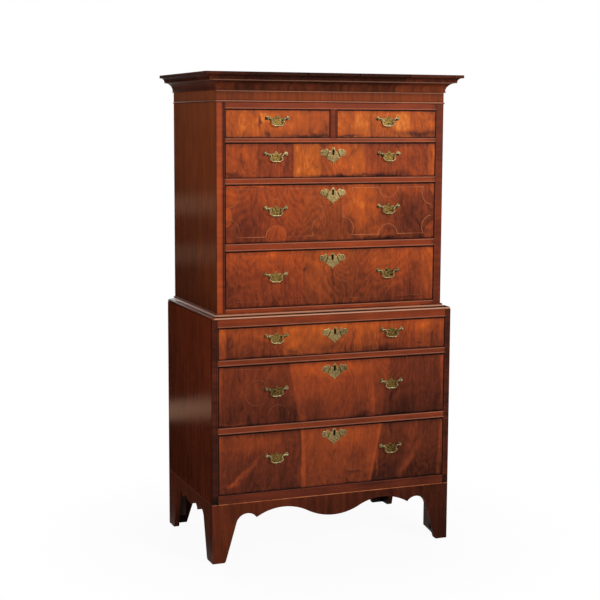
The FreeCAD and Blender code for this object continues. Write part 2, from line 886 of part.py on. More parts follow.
def both_halves(right_half):
    """A whole outline from its right half, given from the top tip down to the bottom tip."""
    left_half = mirror(right_half)[1:]
    return [right_half[0] + left_half[-1][2:]] + right_half[1:] + left_half[:-1]


# Right halves of the two plates, about their centres: across, up, then radius and turn of an arc.
# The handle's plate has a lobe about each post, between its crest and its foot.
PLATE_CREST = [
    (0, 50),
    (8, 35, 14, True),
    (18, 33, 8, False),
    (27, 26, 9, True),
]
PLATE_LOBE_ANGLES = (165, 70, -95)
PLATE_FOOT = [
    (28, 8, 9.5, False),
    (24, -8, 16, True),
    (10, -26, 22, True),
    (0, -50, 24, False),
]
ESCUTCHEON_HALF = [
    (0, 50),
    (8, 34, 12, True),
    (14.5, 27, 9, False),
    (21, 38, 14, False),
    (28, 42, 8, True),
    (41, 36, 16, False),
    (50, 22, 9, True),
    (48, 6, 10, True),
    (37, 2, 9, True),
    (30, -2, 6, False),
    (21, -16, 14, True),
    (9, -29, 14, True),
    (0, -50, 20, False),
]


def plate_half(width):
    """The right half of a handle's plate, with its lobe centred on the post."""
    lobe = []
    for angle in PLATE_LOBE_ANGLES:
        lobe.append((dim.post_spacing / 2 + dim.plate_lobe * math.cos(math.radians(angle)),
                     dim.post_rise + dim.plate_lobe * math.sin(math.radians(angle)),
                     dim.plate_lobe, bool(lobe)))
    return (scaled(PLATE_CREST, width, dim.plate_height) + lobe
            + scaled(PLATE_FOOT, width, dim.plate_height))


def post(name, x, front, z):
    """One post: shank, rose, neck and a ball with a cross hole for the bail."""
    face = front - dim.plate_thickness
    axis = bail_axis(front)
    shank = dim.plate_thickness + dim.drawer_front + dim.shank_beyond
    solid = fuse(name + "_solid", [
        rod(name + "_shank", (x, face, z), (0, 1, 0), shank, dim.shank_radius),
        rod(name + "_rose", (x, face, z), (0, -1, 0), dim.rose_thickness, dim.rose_radius),
        rod(name + "_neck", (x, face, z), (0, -1, 0), dim.rose_thickness + dim.neck_length,
            dim.neck_radius),
        ball(name + "_ball", (x, axis, z), dim.ball_radius),
    ])
    hole = rod(name + "_bore", (x - dim.ball_radius - dim.overcut, axis, z), (1, 0, 0),
               (dim.ball_radius + dim.overcut) * 2, dim.bail_pin + dim.bail_clearance)
    return cut(name, solid, [hole])


def bail_axis(front):
    """How far forward of a drawer front the bail turns."""
    return front - dim.plate_thickness - dim.rose_thickness - dim.neck_length


def nut(name, x, front, z):
    """The square nut that holds a post from inside the drawer."""
    half = dim.nut_size / 2
    start = front + dim.drawer_front
    hole = rod(name + "_hole", (x, start - dim.overcut, z), (0, 1, 0),
               dim.nut_thickness + dim.overcut * 2, dim.shank_radius + dim.nut_clearance)
    return cut(name, box(name + "_square", (x - half, start, z - half),
                         (x + half, start + dim.nut_thickness, z + half)), [hole])


def handle_pieces(name, x, front, z):
    """Backplate, posts and nuts of one handle, and the holes its posts need in the front."""
    post_height = z + dim.post_rise
    plate_width = dim.post_spacing + dim.plate_lobe * 2
    plate = padded(name + "_plate_blank", both_halves(plate_half(plate_width)),
                   dim.plate_thickness, (x, front, z), -90)
    pieces, front_holes, plate_holes = [], [], []
    for side, sign in (("left", -1), ("right", 1)):
        post_x = x + dim.post_spacing * sign / 2
        label = "{}_{}".format(name, side)
        pieces += [post(label + "_post", post_x, front, post_height),
                   nut(label + "_nut", post_x, front, post_height)]
        front_holes.append(rod(label + "_front_hole",
                               (post_x, front - dim.overcut, post_height), (0, 1, 0),
                               dim.drawer_front + dim.overcut * 2,
                               dim.shank_radius + dim.shank_clearance))
        plate_holes.append(rod(label + "_plate_hole",
                               (post_x, front - dim.plate_thickness - dim.overcut, post_height),
                               (0, 1, 0), dim.plate_thickness + dim.overcut * 2,
                               dim.shank_radius + dim.nut_clearance))
    return [cut(name + "_plate", plate, plate_holes)] + pieces, front_holes


def rounded_path(corners, radius):
    """A wire of straight runs joined by tangent arcs."""
    edges = []
    start = corners[0]
    for before, corner, after in zip(corners, corners[1:], corners[2:]):
        inward = (before - corner).normalize()
        outward = (after - corner).normalize()
        half_angle = inward.getAngle(outward) / 2
        setback = radius / math.tan(half_angle)
        middle_way = (inward + outward).normalize()
        centre = corner + middle_way * (radius / math.sin(half_angle))
        arc_start = corner + inward * setback
        arc_end = corner + outward * setback
        arc_middle = centre - middle_way * radius
        edges.append(Part.LineSegment(start, arc_start).toShape())
        edges.append(Part.Arc(arc_start, arc_middle, arc_end).toShape())
        start = arc_end
    edges.append(Part.LineSegment(start, corners[-1]).toShape())
    return Part.Wire(edges)


def bail(name, x, front, z):
    """A swan-neck bail hanging from two posts, with a pin at each end."""
    pin_end = dim.post_spacing.value / 2 + dim.bail_pin_depth.value
    wire_end = dim.post_spacing.value / 2 - dim.ball_radius.value - dim.shank_clearance.value
    half = [
        Vector(wire_end, 0, 0),
        Vector(dim.bail_shoulder.value, 0, 0),
        Vector(dim.bail_waist.value, 0, -dim.bail_waist_drop.value),
        Vector(dim.bail_hip.value, 0, -dim.bail_hip_drop.value),
        Vector(dim.bail_foot.value, 0, -dim.bail_drop.value),
    ]
    corners = half + [Vector(-point.x, 0, point.z) for point in reversed(half)]
    path = rounded_path(corners, dim.bail_bend.value)
    section = Part.Wire(Part.Circle(half[0], Vector(1, 0, 0), dim.bail_wire.value).toShape())
    solid = path.makePipeShell([section], True, False)
    pins = [
        Part.makeCylinder(dim.bail_pin.value, pin_end - wire_end, Vector(wire_end * sign, 0, 0),
                          Vector(sign, 0, 0))
        for sign in (-1, 1)
    ]
    handle = document.addObject("Part::Feature", name)
    handle.Shape = solid.multiFuse(pins).removeSplitter()
    handle.Placement = Placement(
        Vector(x.value, bail_axis(front).value, (z + dim.post_rise).value), Rotation())
    return handle


# ---------------------------------------------------------------- locks

def lock_case(name, front, top):
    """The lock's case behind the drawer front, with a channel for its bolt."""
    half = dim.lock_width / 2
    start = front + dim.drawer_front
    slot_half = dim.bolt_width / 2 + dim.bolt_clearance
    bolt_front = start + (dim.lock_depth - dim.bolt_thickness) / 2
    channel = box(name + "_channel",
                  (-slot_half, bolt_front - dim.bolt_clearance,
                   top - dim.bolt_sink - dim.bolt_height),
                  (slot_half, bolt_front + dim.bolt_thickness + dim.bolt_clearance,
                   top + dim.overcut))
    return cut(name, box(name + "_block", (-half, start, top - dim.lock_height),
                         (half, start + dim.lock_depth, top)), [channel])


def lock_bolt(name, front, top):
    """The bolt, drawn down inside its case."""
    half = dim.bolt_width / 2
    start = front + dim.drawer_front + (dim.lock_depth - dim.bolt_thickness) / 2
    rest_top = top - dim.bolt_sink
    return box(name, (-half, start, rest_top - dim.bolt_height),
               (half, start + dim.bolt_thickness, rest_top))


# ---------------------------------------------------------------- drawers

def build_drawer(name, case, row, left, right, handles, handle_rise, escutcheon_drop=None):
    """One drawer: its front, its box, its brasses, its bails and, if it locks, its bolt."""
    front = case.front
    rail_spans = levels(case)
    rail_below, rail_above = rail_spans[row][1], rail_spans[row + 1][0]
    handle_height = rail_below + handle_rise
    low = rail_below + dim.gap_below
    high = rail_above - dim.gap_above
    start, end = left + dim.gap_beside, right - dim.gap_beside
    back = BACK_INSIDE - dim.drawer_end_gap
    floor = low + dim.bottom_rise
    floor_top = floor + dim.drawer_bottom
    side_top = high - dim.side_drop_below_front

    outline = side_outline(front, back, low, side_top, floor_top)
    left_side = padded(name + "_left_side", outline, dim.drawer_side, (start, ZERO, ZERO), 0)
    right_side = padded(name + "_right_side", outline, dim.drawer_side,
                        (end - dim.drawer_side, ZERO, ZERO), 0)
    back_board = cut(name + "_back", box(name + "_back_blank",
                                         (start, back - dim.drawer_back, floor_top),
                                         (end, back, side_top)), [left_side, right_side])
    bottom = box(name + "_bottom",
                 (start + dim.drawer_side, front + dim.drawer_front, floor),
                 (end - dim.drawer_side, back, floor_top))
    node(name + "_box", [left_side, right_side, back_board, bottom])

    brasses, front_tools = [], [left_side, right_side]
    sides = ("_left", "_right") if len(handles) == 2 else ("",)
    for side, x in zip(sides, handles):
        pieces, holes = handle_pieces(name + side, x, front, handle_height)
        brasses += pieces
        front_tools += holes
    if escutcheon_drop is not None:
        escutcheon_height = rail_above - escutcheon_drop
        top_tip = escutcheon_height + dim.escutcheon_height / 2
        plate = padded(name + "_escutcheon_blank",
                       both_halves(scaled(ESCUTCHEON_HALF, dim.escutcheon_width,
                                          dim.escutcheon_height)),
                       dim.plate_thickness, (ZERO, front, escutcheon_height), -90)
        plate_keyhole = keyhole(name + "_keyhole_in_plate",
                                front - dim.plate_thickness - dim.overcut, top_tip,
                                dim.plate_thickness + dim.overcut * 2)
        brasses += [
            cut(name + "_escutcheon", plate, [plate_keyhole]),
            lock_case(name + "_lock_case", front, high),
        ]
        front_tools.append(keyhole(name + "_keyhole", front - dim.overcut, top_tip,
                                   dim.drawer_front + dim.overcut * 2))
        node(name + "_lock_bolt", [lock_bolt(name + "_bolt", front, high)])
    node(name + "_front", [cut(name + "_front_board",
                               box(name + "_front_blank", (start, front, low),
                                   (end, front + dim.drawer_front, high)), front_tools)])
    node(name + "_brasses", brasses)
    for side, x in zip(sides, handles):
        node(name + side + "_bail", [bail(name + side + "_swan_neck", x, front, handle_height)])


def build_drawers():
    """Three long drawers below, three long and two short ones above."""
    for case in (LOWER, UPPER):
        edge = opening_half(case)
        handles = (-case.handle_out, case.handle_out)
        for row, (name, handle_rise, escutcheon_drop) in enumerate(case.long_drawers):
            build_drawer(name, case, row, -edge, edge, handles, handle_rise, escutcheon_drop)
    edge, half_muntin = opening_half(UPPER), dim.muntin / 2
    for name, sign, left, right in (("top_left_drawer", -1, -edge, -half_muntin),
                                    ("top_right_drawer", 1, half_muntin, edge)):
        build_drawer(name, UPPER, len(UPPER.long_drawers), left, right,
                     (dim.small_handle_out * sign,), dim.handle_rise_seven)


# ---------------------------------------------------------------- build, test and write

def faults():
    """Every object that failed to compute, and every sub-part without a sound shape."""
    found = [item.Name for item in document.Objects
             if "Invalid" in item.State or "Error" in item.State]
    for part in nodes:
        if part.Shape.isNull() or not part.Shape.isValid() or not part.Shape.Solids:
            found.append(part.Label)
    return found


def main():
    build_cases()
    build_frieze()
    build_cornice()
    build_waist()
    build_base()
    build_drawers()
    document.recompute()
    broken = faults()
    if broken:
        raise RuntimeError("these did not build: " + ", ".join(broken))
    os.makedirs("parts", exist_ok=True)
    for part in nodes:
        part.Shape.exportStep("parts/{}.step".format(part.Label))


main()
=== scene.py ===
"""The walnut chest-on-chest in Blender: veneers, stringing, brasses, studio light and camera.

Metres, in the frame of the CAD. The figure of the drawers and the stringing are placed in
millimetres, x from the middle of the case and z from the floor.
"""
import math

import bmesh
import bpy
from mathutils import Euler, Matrix, Vector


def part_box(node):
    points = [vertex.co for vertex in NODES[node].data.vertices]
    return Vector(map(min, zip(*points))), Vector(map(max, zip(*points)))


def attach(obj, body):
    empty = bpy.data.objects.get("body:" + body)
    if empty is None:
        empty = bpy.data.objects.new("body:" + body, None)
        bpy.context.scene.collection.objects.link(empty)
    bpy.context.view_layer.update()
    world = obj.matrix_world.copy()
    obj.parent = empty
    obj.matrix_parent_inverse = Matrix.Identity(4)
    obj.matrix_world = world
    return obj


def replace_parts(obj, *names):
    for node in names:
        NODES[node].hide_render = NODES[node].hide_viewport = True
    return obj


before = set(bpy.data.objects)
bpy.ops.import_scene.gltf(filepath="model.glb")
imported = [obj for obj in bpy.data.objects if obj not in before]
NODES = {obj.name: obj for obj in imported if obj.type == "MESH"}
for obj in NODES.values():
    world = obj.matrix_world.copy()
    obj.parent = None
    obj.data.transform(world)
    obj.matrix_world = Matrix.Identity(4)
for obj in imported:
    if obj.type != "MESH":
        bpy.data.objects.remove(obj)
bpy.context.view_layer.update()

MM = 0.001
ROUND = math.radians(32)    # faces that meet at less than this are smoothed into one

# Places in the CAD that the materials keep to: front faces, inner edges of the stiles, levels.
LOWER_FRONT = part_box("lower_drawer_1_front")[0].y
UPPER_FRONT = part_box("upper_drawer_1_front")[0].y
LOWER_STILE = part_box("lower_drawer_1_front")[1].x
UPPER_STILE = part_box("upper_drawer_1_front")[1].x
LOWEST_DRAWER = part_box("lower_drawer_3_front")[0].z
SHORT_LOW, SHORT_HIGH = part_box("top_right_drawer_front")
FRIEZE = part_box("frieze")[0].z
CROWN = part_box("cornice")[1].z
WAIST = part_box("waist_moulding")[0].z
BASE_LOW, BASE_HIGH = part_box("bracket_base")


# ---------------------------- colours

def srgb(red, green, blue):
    """A linear colour from the usual 0 to 255 values."""
    def linear(value):
        value /= 255
        return value / 12.92 if value <= 0.04045 else ((value + 0.055) / 1.055) ** 2.4
    return (linear(red), linear(green), linear(blue), 1.0)


# Old polished walnut from dark to light, yellow-brown and red. A tone of 0 to 1 runs along each
# list, and a redness of 0 to 1 leads from the first list to the second.
BROWN = [(0.0, srgb(24, 12, 8)), (0.2, srgb(62, 30, 18)), (0.4, srgb(102, 51, 27)),
         (0.6, srgb(143, 71, 32)), (0.8, srgb(184, 90, 31)), (1.0, srgb(224, 130, 54))]
RED = [(0.0, srgb(22, 9, 6)), (0.2, srgb(60, 25, 15)), (0.4, srgb(102, 43, 25)),
       (0.6, srgb(143, 60, 30)), (0.8, srgb(184, 79, 31)), (1.0, srgb(222, 114, 48))]
# The pale colour of the painted highlights on mouldings, beads and the upper sides.
PALE_HIGHLIGHT = srgb(204, 148, 118)
WHITE = (1.0, 1.0, 1.0, 1.0)


# ---------------------------- node trees

class Term:
    """A number that varies over a surface; arithmetic on it adds math nodes."""

    def __init__(self, nodes, socket):
        self.nodes = nodes
        self.socket = socket

    def __add__(self, other):
        return self.nodes.math("ADD", self, other)

    def __sub__(self, other):
        return self.nodes.math("SUBTRACT", self, other)

    def __rsub__(self, other):
        return self.nodes.math("SUBTRACT", other, self)

    def __mul__(self, other):
        return self.nodes.math("MULTIPLY", self, other)

    def __abs__(self):
        return self.nodes.math("ABSOLUTE", self)


class Nodes:
    """An emptied node tree and short ways to add to it."""

    def __init__(self, tree):
        self.tree = tree
        self.tree.nodes.clear()

    def add(self, kind, *values, inputs=None, **settings):
        """A node with its settings, its first inputs in order and other inputs by name."""
        item = self.tree.nodes.new(kind)
        for key, value in settings.items():
            setattr(item, key, value)
        for socket, value in zip(item.inputs, values):
            self.feed(socket, value)
        for key, value in (inputs or {}).items():
            self.feed(item.inputs[key], value)
        return item

    def feed(self, socket, value):
        """Links a Term or a socket to an input, or sets a plain value on it."""
        if isinstance(value, Term):
            value = value.socket
        if isinstance(value, bpy.types.NodeSocket):
            self.tree.links.new(value, socket)
        else:
            socket.default_value = value

    def math(self, operation, *values):
        return Term(self, self.add("ShaderNodeMath", *values, operation=operation).outputs[0])

    def seen_directly(self):
        """1 for rays from the camera, off a mirror or through glass, 0 for rays that light."""
        path = self.add("ShaderNodeLightPath").outputs
        seen = self.math("MAXIMUM", path["Is Camera Ray"], path["Is Glossy Ray"])
        return self.math("MAXIMUM", seen, path["Is Transmission Ray"])


class Shade(Nodes):
    """One material and the nodes behind it."""

    def __init__(self, name):
        self.material = bpy.data.materials.new(name)
        self.material.use_nodes = True
        super().__init__(self.material.node_tree)
        self.shader = self.add("ShaderNodeBsdfPrincipled")
        self.output = self.add("ShaderNodeOutputMaterial", self.shader.outputs[0])
        self.place = self.add("ShaderNodeTexCoord").outputs["Object"]
        self.x, self.y, self.z = self.parts(self.place)

    def parts(self, place):
        """The x, y and z of a place or a direction."""
        split = self.add("ShaderNodeSeparateXYZ", place)
        return [Term(self, socket) for socket in split.outputs]

    def vector(self, operation, *values):
        return self.add("ShaderNodeVectorMath", *values, operation=operation).outputs[0]

    def length(self, place):
        """How far a place is from the origin."""
        return self.add("ShaderNodeVectorMath", place, operation="LENGTH").outputs["Value"]

    def least(self, first, second):
        return self.math("MINIMUM", first, second)

    def ease(self, value, start, end, first=0.0, last=1.0):
        """Runs smoothly from first to last as value goes from start to end."""
        item = self.add("ShaderNodeMapRange", value, start, end, first, last,
                        interpolation_type="SMOOTHSTEP")
        return Term(self, item.outputs[0])

    def near(self, value, centre, core, fade):
        """1 within core of centre, falling to 0 over fade."""
        return self.ease(abs(value - centre), core, core + fade, 1.0, 0.0)

    def scaled(self, place, across, along, upward):
        """A place stretched along each axis."""
        return self.vector("MULTIPLY", place, (across, along, upward))

    def noise_node(self, place, scale, detail=3.0, rough=0.55, twist=0.0):
        return self.add("ShaderNodeTexNoise", inputs={
            "Vector": place, "Scale": scale, "Detail": detail, "Roughness": rough,
            "Distortion": twist})

    def noise(self, place, *settings):
        """Noise from -0.5 to 0.5; the settings are those of noise_node."""
        return Term(self, self.noise_node(place, *settings).outputs["Fac"]) - 0.5

    def shaken(self, place, reach, *settings):
        """A place pushed about by noise, at most half of reach either way along each axis."""
        colour = self.noise_node(place, *settings).outputs["Color"]
        centred = self.vector("SUBTRACT", colour, (0.5, 0.5, 0.5))
        return self.vector("ADD", place, self.vector("MULTIPLY", centred, reach))

    def ramp(self, factor, stops):
        """A colour ramp through stops of a position and a colour."""
        item = self.add("ShaderNodeValToRGB", factor)
        marks = item.color_ramp.elements
        while len(marks) < len(stops):
            marks.new(1.0)
        for mark, (position, colour) in zip(marks, stops):
            mark.position = position
            mark.color = colour
        return item.outputs["Color"]

    def mix(self, factor, first, second):
        item = self.add("ShaderNodeMix", data_type="RGBA")
        for index, value in ((0, factor), (6, first), (7, second)):
            self.feed(item.inputs[index], value)
        return item.outputs[2]

    def walnut_colour(self, tone, redness):
        """The polished colour at a tone, between the brown and the red list."""
        return self.mix(redness, self.ramp(tone, BROWN), self.ramp(tone, RED))

    def blob(self, place, x, z, half_width, half_height, turn=0.0, even=0.0):
        """1 in the middle of an ellipse on the front, 0 outside it; sizes in millimetres.

        even is the share of the way out that stays at 1, and turn is in degrees.
        """
        item = self.add("ShaderNodeMapping", vector_type="TEXTURE", inputs={
            "Vector": place, "Location": (x * MM, 0.0, z * MM),
            "Rotation": (0.0, math.radians(-turn), 0.0),
            "Scale": (half_width * MM, 10.0, half_height * MM)})
        return self.ease(self.length(item.outputs[0]), even, 1.0, 1.0, 0.0)

    def surface(self, colour, roughness, specular=0.15, height=None, depth=0.0002):
        """Connects the shader: colour, roughness, an even specular level and a bump."""
        self.feed(self.shader.inputs["Base Color"], colour)
        self.feed(self.shader.inputs["Roughness"], roughness)
        self.feed(self.shader.inputs["Specular IOR Level"], specular)
        if height is not None:
            bump = self.add("ShaderNodeBump",
                            inputs={"Height": height, "Strength": 1.0, "Distance": depth})
            self.feed(self.shader.inputs["Normal"], bump.outputs[0])
        return self.material


# ---------------------------- wood

def grain(shade, axis, place, streaks=70.0, along=5.0):
    """Fine streaks and pores that run along one axis, each about 0."""
    scales = {"x": (along, streaks, streaks), "y": (streaks, along, streaks),
              "z": (streaks, streaks, along)}[axis]
    wavy = shade.shaken(place, (0.012, 0.012, 0.012), 7.0, 2.0)
    streak = shade.noise(shade.scaled(wavy, *scales), 1.0, 4.0, 0.62)
    finer = [scale * 9 for scale in scales]
    pore = shade.noise(shade.scaled(wavy, *finer), 1.0, 2.0, 0.7)
    return streak, pore


def plain_walnut(name, axis, more_tone, worn=None, *, tone, redness, contrast, mottle, gloss,
                 specular, streaks=70.0):
    """Straight-grained or cross-banded walnut.

    more_tone gives what is added to the tone from place to place, painted shade among it, and
    worn says where painted highlights make the polish pale.
    """
    shade = Shade(name)
    streak, pore = grain(shade, axis, shade.place, streaks)
    cloud = shade.noise(shade.place, 6.0, 4.0, 0.6)
    level = streak * contrast + pore * (contrast * 0.45) + cloud * mottle + tone + more_tone(shade)
    colour = shade.walnut_colour(level, redness)
    # Painted highlights, where worn says.
    if worn:
        colour = shade.mix(worn(shade), colour, PALE_HIGHLIGHT)
    roughness = cloud * (gloss * 0.35) + pore * (gloss * 0.6) + gloss
    return shade.surface(colour, roughness, specular, pore * 0.6 + streak * 0.4, 0.00025)


def unpolished(name, light, dark, axis, boards=None):
    """Bare oak or pine; boards is the box of a back made of three upright boards."""
    shade = Shade(name)
    streak, pore = grain(shade, axis, shade.place, 55.0, 2.2)
    cloud = shade.noise(shade.place, 4.0, 4.0, 0.6)
    level = streak * 1.1 + pore * 0.5 + cloud * 0.9 + 0.5
    if boards:
        low, high = boards
        width = (high.x - low.x) / 3
        level += shade.ease(shade.x, low.x + width, low.x + width + 0.001, -.25, 0.0)
        level += shade.ease(shade.x, high.x - width - 0.001, high.x - width, 0.0, .15)
        for joint in (low.x + width, high.x - width):
            level -= shade.near(shade.x, joint, 0.0008, 0.003) * 1.1
        rim = shade.least(shade.z - low.z, high.z - shade.z)
        level -= shade.ease(rim, 0.001, 0.012, 0.9, 0.0)
    colour = shade.ramp(level, [(0.0, dark), (1.0, light)])
    return shade.surface(colour, pore * 0.3 + 0.72, 0.2, pore * 0.7 + streak * 0.5, 0.0004)


def leaf_tones(shade, across, left, right, leaves):
    """The tone and redness of leaves glued side by side, with darker joints between them."""
    width = right - left
    joint_dark = 0.05
    joint_lead, leaf_gap = 0.0012, 0.0035    # shares of the width

    def where(x_mm):
        return min(max((x_mm * MM - left) / width, 0.0), 1.0)

    stops = []
    ends = [leaf[0] for leaf in leaves[1:]] + [right / MM]
    for (start, first, last, redness), end in zip(leaves, ends):
        if stops:
            _, (tone, hue, _, _) = stops[-1]
            stops.append((where(start) - joint_lead, (tone - joint_dark, hue, 0, 1)))
        stops.append((where(start), (first, redness, 0, 1)))
        stops.append((max(where(end) - leaf_gap, where(start)), (last, redness, 0, 1)))
    leaf = shade.add("ShaderNodeSeparateColor", shade.ramp((across - left) * (1 / width), stops))
    return Term(shade, leaf.outputs[0]), Term(shade, leaf.outputs[1])


def flame(shade, across, up, x, z, spread):
    """Grain that fans upwards from a foot at x and z, and fades out over spread."""
    lean = abs(across - x * MM)
    fan = (up - z * MM) - lean * 1.35
    stripes = shade.add("ShaderNodeCombineXYZ", fan * 42.0, 0.0, lean * 7.0).outputs[0]
    return shade.noise(stripes, 1.0, 4.0, 0.65, 1.2) * shade.near(across, x * MM, 0.0, spread * MM)


def strip(shade, across, rise, tops, feet, blur):
    """1 between two slanting edges, given by their x at the top and the foot of the front."""
    left, right = [rise * ((top - foot) * MM) + foot * MM for top, foot in zip(tops, feet)]
    return (shade.ease(across - left, -blur * MM, blur * MM)
            * shade.ease(right - across, -blur * MM, blur * MM))


def grimy_shaded_edges(shade, tone, low, high):
    """The tone of a front with grime and painted shade towards its edges, and a painted shadow line.
    """
    side = shade.least(shade.x - low.x, high.x - shade.x)
    top = high.z - shade.z
    foot = shade.z - low.z
    grime = shade.noise(shade.scaled(shade.place, 1.0, 1.0, 2.0), 22.0, 4.0, 0.65) * 2.8 + 0.9
    # Grime with painted shade from the gaps, towards the foot, the sides and the top.
    for inwards, reach, dark in ((foot, 0.011, 0.22), (side, 0.006, 0.14), (top, 0.020, 0.13)):
        tone -= shade.ease(inwards, 0.0, reach, dark, 0.0) * grime
    # A painted shadow line round the edge, wider at the top.
    rim = shade.least(shade.least(side, foot), top * 0.7)
    return tone - shade.ease(rim, 0.0012, 0.0028, 0.55, 0.0)


def veneered_front(name, box, leaves, blobs, inlaid=(), flames=(), strips=(), fades=(0, 0),
                   wave=0.3):
    """The figured front of one drawer, glued up from leaves of walnut.

    A leaf is (x where it starts, tone there, tone at its end, redness). A blob is (x, z, half
    width, half height, tone, turn), and an inlaid patch has a sharp edge and no turn. A flame is
    (x, z, spread, tone). A strip is (left and right at the top, left and right at the foot, tone,
    blur). The fades are added to the tone towards the top and the foot, and wave is how strong
    the grain is. Round its edges the board has painted shade near the face and bare wood behind.
    """
    shade = Shade(name)
    low, high = box
    place = shade.shaken(shade.place, (0.007, 0.0, 0.007), 16.0, 3.0)
    patchy = shade.shaken(shade.place, (0.075, 0.0, 0.06), 9.0, 4.0, 0.65)
    across, _, up = shade.parts(place)
    tone, redness = leaf_tones(shade, across, low.x, high.x, leaves)

    soft = 1.25    # a blob has faded out at this many times its size
    for x, z, half_width, half_height, amount, turn in blobs:
        tone += shade.blob(patchy, x, z, half_width * soft, half_height * soft, turn) * amount
    for x, z, half_width, half_height, amount in inlaid:
        tone += shade.blob(place, x, z, half_width, half_height, even=0.93) * amount
    for x, z, spread, amount in flames:
        tone += flame(shade, across, up, x, z, spread) * amount
    rise = (up - low.z) * (1 / (high.z - low.z))
    top_fade, foot_fade = fades
    tone += shade.ease(rise, 0.4, 1.0, 0.0, top_fade)
    tone += shade.ease(rise, 0.0, 0.6, foot_fade, 0.0)
    for top_left, top_right, foot_left, foot_right, amount, blur in strips:
        tone += strip(shade, across, rise, (top_left, top_right), (foot_left, foot_right),
                      blur) * amount

    streak, pore = grain(shade, "z", place, 60.0, 3.2)
    cloud = shade.noise(shade.scaled(place, 1.0, 1.0, 0.6), 11.0, 5.0, 0.62, 0.8)
    curl = shade.noise(shade.scaled(place, 1.0, 1.0, 0.75), 34.0, 4.0, 0.66, 1.6)
    fleck = shade.noise(shade.scaled(place, 1.0, 1.0, 0.3), 130.0, 2.0, 0.7)
    tone += (streak * 0.8 + cloud + curl * 1.2 + fleck * 0.7) * wave + pore * 0.1
    field = shade.noise(shade.scaled(place, 1.0, 1.0, 0.4), 5.0, 2.0, 0.5, 0.5)
    rings = shade.math("SINE", field * 150.0 + curl * 3.0)
    tone += rings * (wave * 0.13)
    wisp = shade.noise(shade.scaled(patchy, 1.0, 1.0, 0.35), 26.0, 3.0, 0.6, 0.8)
    tone -= shade.ease(wisp, 0.09, 0.24) * (wave * 0.6)
    polished = shade.walnut_colour(grimy_shaded_edges(shade, tone, low, high), redness)

    _, towards, _ = shade.parts(shade.add("ShaderNodeTexCoord").outputs["Normal"])
    facing = shade.math("LESS_THAN", towards, -0.5)
    behind = shade.ease(shade.y, low.y + 0.004, low.y + 0.010)
    ground = shade.ramp(streak + pore * 0.4 + 0.5,
                        [(0.0, srgb(58, 33, 18)), (1.0, srgb(122, 82, 46))])
    # Painted shade on the board's edges near the face, inside the gaps.
    edge = shade.ramp(streak + 0.5, [(0.0, srgb(16, 8, 5)), (1.0, srgb(34, 17, 10))])
    colour = shade.mix(facing, shade.mix(behind, edge, ground), polished)
    roughness = curl * 0.12 + pore * 0.2 + 0.40
    return shade.surface(colour, roughness, 0.07, pore * 0.5 + streak * 0.3 + curl, 0.0004)


# ---------------------------- metal, inlay and linings

def old_brass(name, light, dark, gloss, grime, keyhole=None):
    """Cast brass with polish on its high places and dull brown in its hollows.

    keyhole is the height of the middle of one, darkened round with grime and painted shade. An
    engraved line slants down on either side of it, and the wings grow duller towards their tips.
    """
    shade = Shade(name)
    patina = shade.noise(shade.place, 170.0, 4.0, 0.7)
    speck = shade.noise(shade.place, 600.0, 2.0)
    level = patina * (1.6 * grime) + speck * 0.3 + 0.55 + shade.noise(shade.place, 7.0, 1.0) * 0.9
    if keyhole is not None:
        out = abs(shade.x)
        # Grime round the keyhole, with painted shade that makes the hole look larger and darker.
        keyhole_grime_and_shade = (shade.near(shade.z, keyhole, 0.0088, 0.002)
                * shade.near(shade.x, 0.0, 0.0034, 0.0014))
        engraved = shade.near((shade.z - keyhole) * 0.45 + out, 0.0195, 0.0008, 0.0016)
        level = level - keyhole_grime_and_shade * 1.6 - engraved * 0.8 - shade.ease(out, 0.020, 0.050, 0.0, 0.12)
    colour = shade.ramp(level, [(0.15, dark), (0.85, light)])
    shade.feed(shade.shader.inputs["Metallic"], 1.0)
    return shade.surface(colour, patina * 0.3 + speck * 0.1 + gloss, 0.5,
                         patina * 0.5 + speck * 0.3)


def forged_iron(name):
    shade = Shade(name)
    scale = shade.noise(shade.place, 120.0, 5.0, 0.65)
    colour = shade.ramp(scale + 0.5, [(0.2, srgb(38, 32, 30)), (0.8, srgb(96, 88, 82))])
    shade.feed(shade.shader.inputs["Metallic"], 0.9)
    return shade.surface(colour, scale * 0.3 + 0.5, 0.5, scale, 0.0003)


def boxwood(name, light, dark):
    """The pale line of inlaid stringing, duller where polish has filled it."""
    shade = Shade(name)
    worn = shade.noise(shade.place, 14.0, 4.0, 0.65) * 1.6
    fibre = shade.noise(shade.place, 380.0, 2.0)
    colour = shade.ramp(worn * 1.6 + fibre * 0.4 + 0.5, [(0.1, dark), (0.85, light)])
    return shade.surface(colour, fibre * 0.2 + 0.45, 0.2, fibre, 0.0001)


# ---------------------------- pieces from CAD nodes

def loose_solids(node):
    """The solids of a CAD node as separate lists of faces, each face a list of corners."""
    mesh = bmesh.new()
    mesh.from_mesh(NODES[node].data)
    bmesh.ops.remove_doubles(mesh, verts=mesh.verts, dist=2e-6)
    seen = set()
    groups = []
    for start in mesh.faces:
        if start in seen:
            continue
        seen.add(start)
        group, waiting = [], [start]
        while waiting:
            face = waiting.pop()
            group.append(face)
            for edge in face.edges:
                for other in edge.link_faces:
                    if other not in seen:
                        seen.add(other)
                        waiting.append(other)
        groups.append([[vert.co.copy() for vert in face.verts] for face in group])
    mesh.free()
    return groups


def group_size(group):
    """Width, depth and height of a group of faces, and its lowest corner."""
    corners = [corner for face in group for corner in face]
    low = Vector([min(corner[axis] for corner in corners) for axis in range(3)])
    high = Vector([max(corner[axis] for corner in corners) for axis in range(3)])
    return high - low, low


def pairs(points):
    """Each point with the one that follows it round a closed line."""
    return list(zip(points, points[1:] + points[:1]))


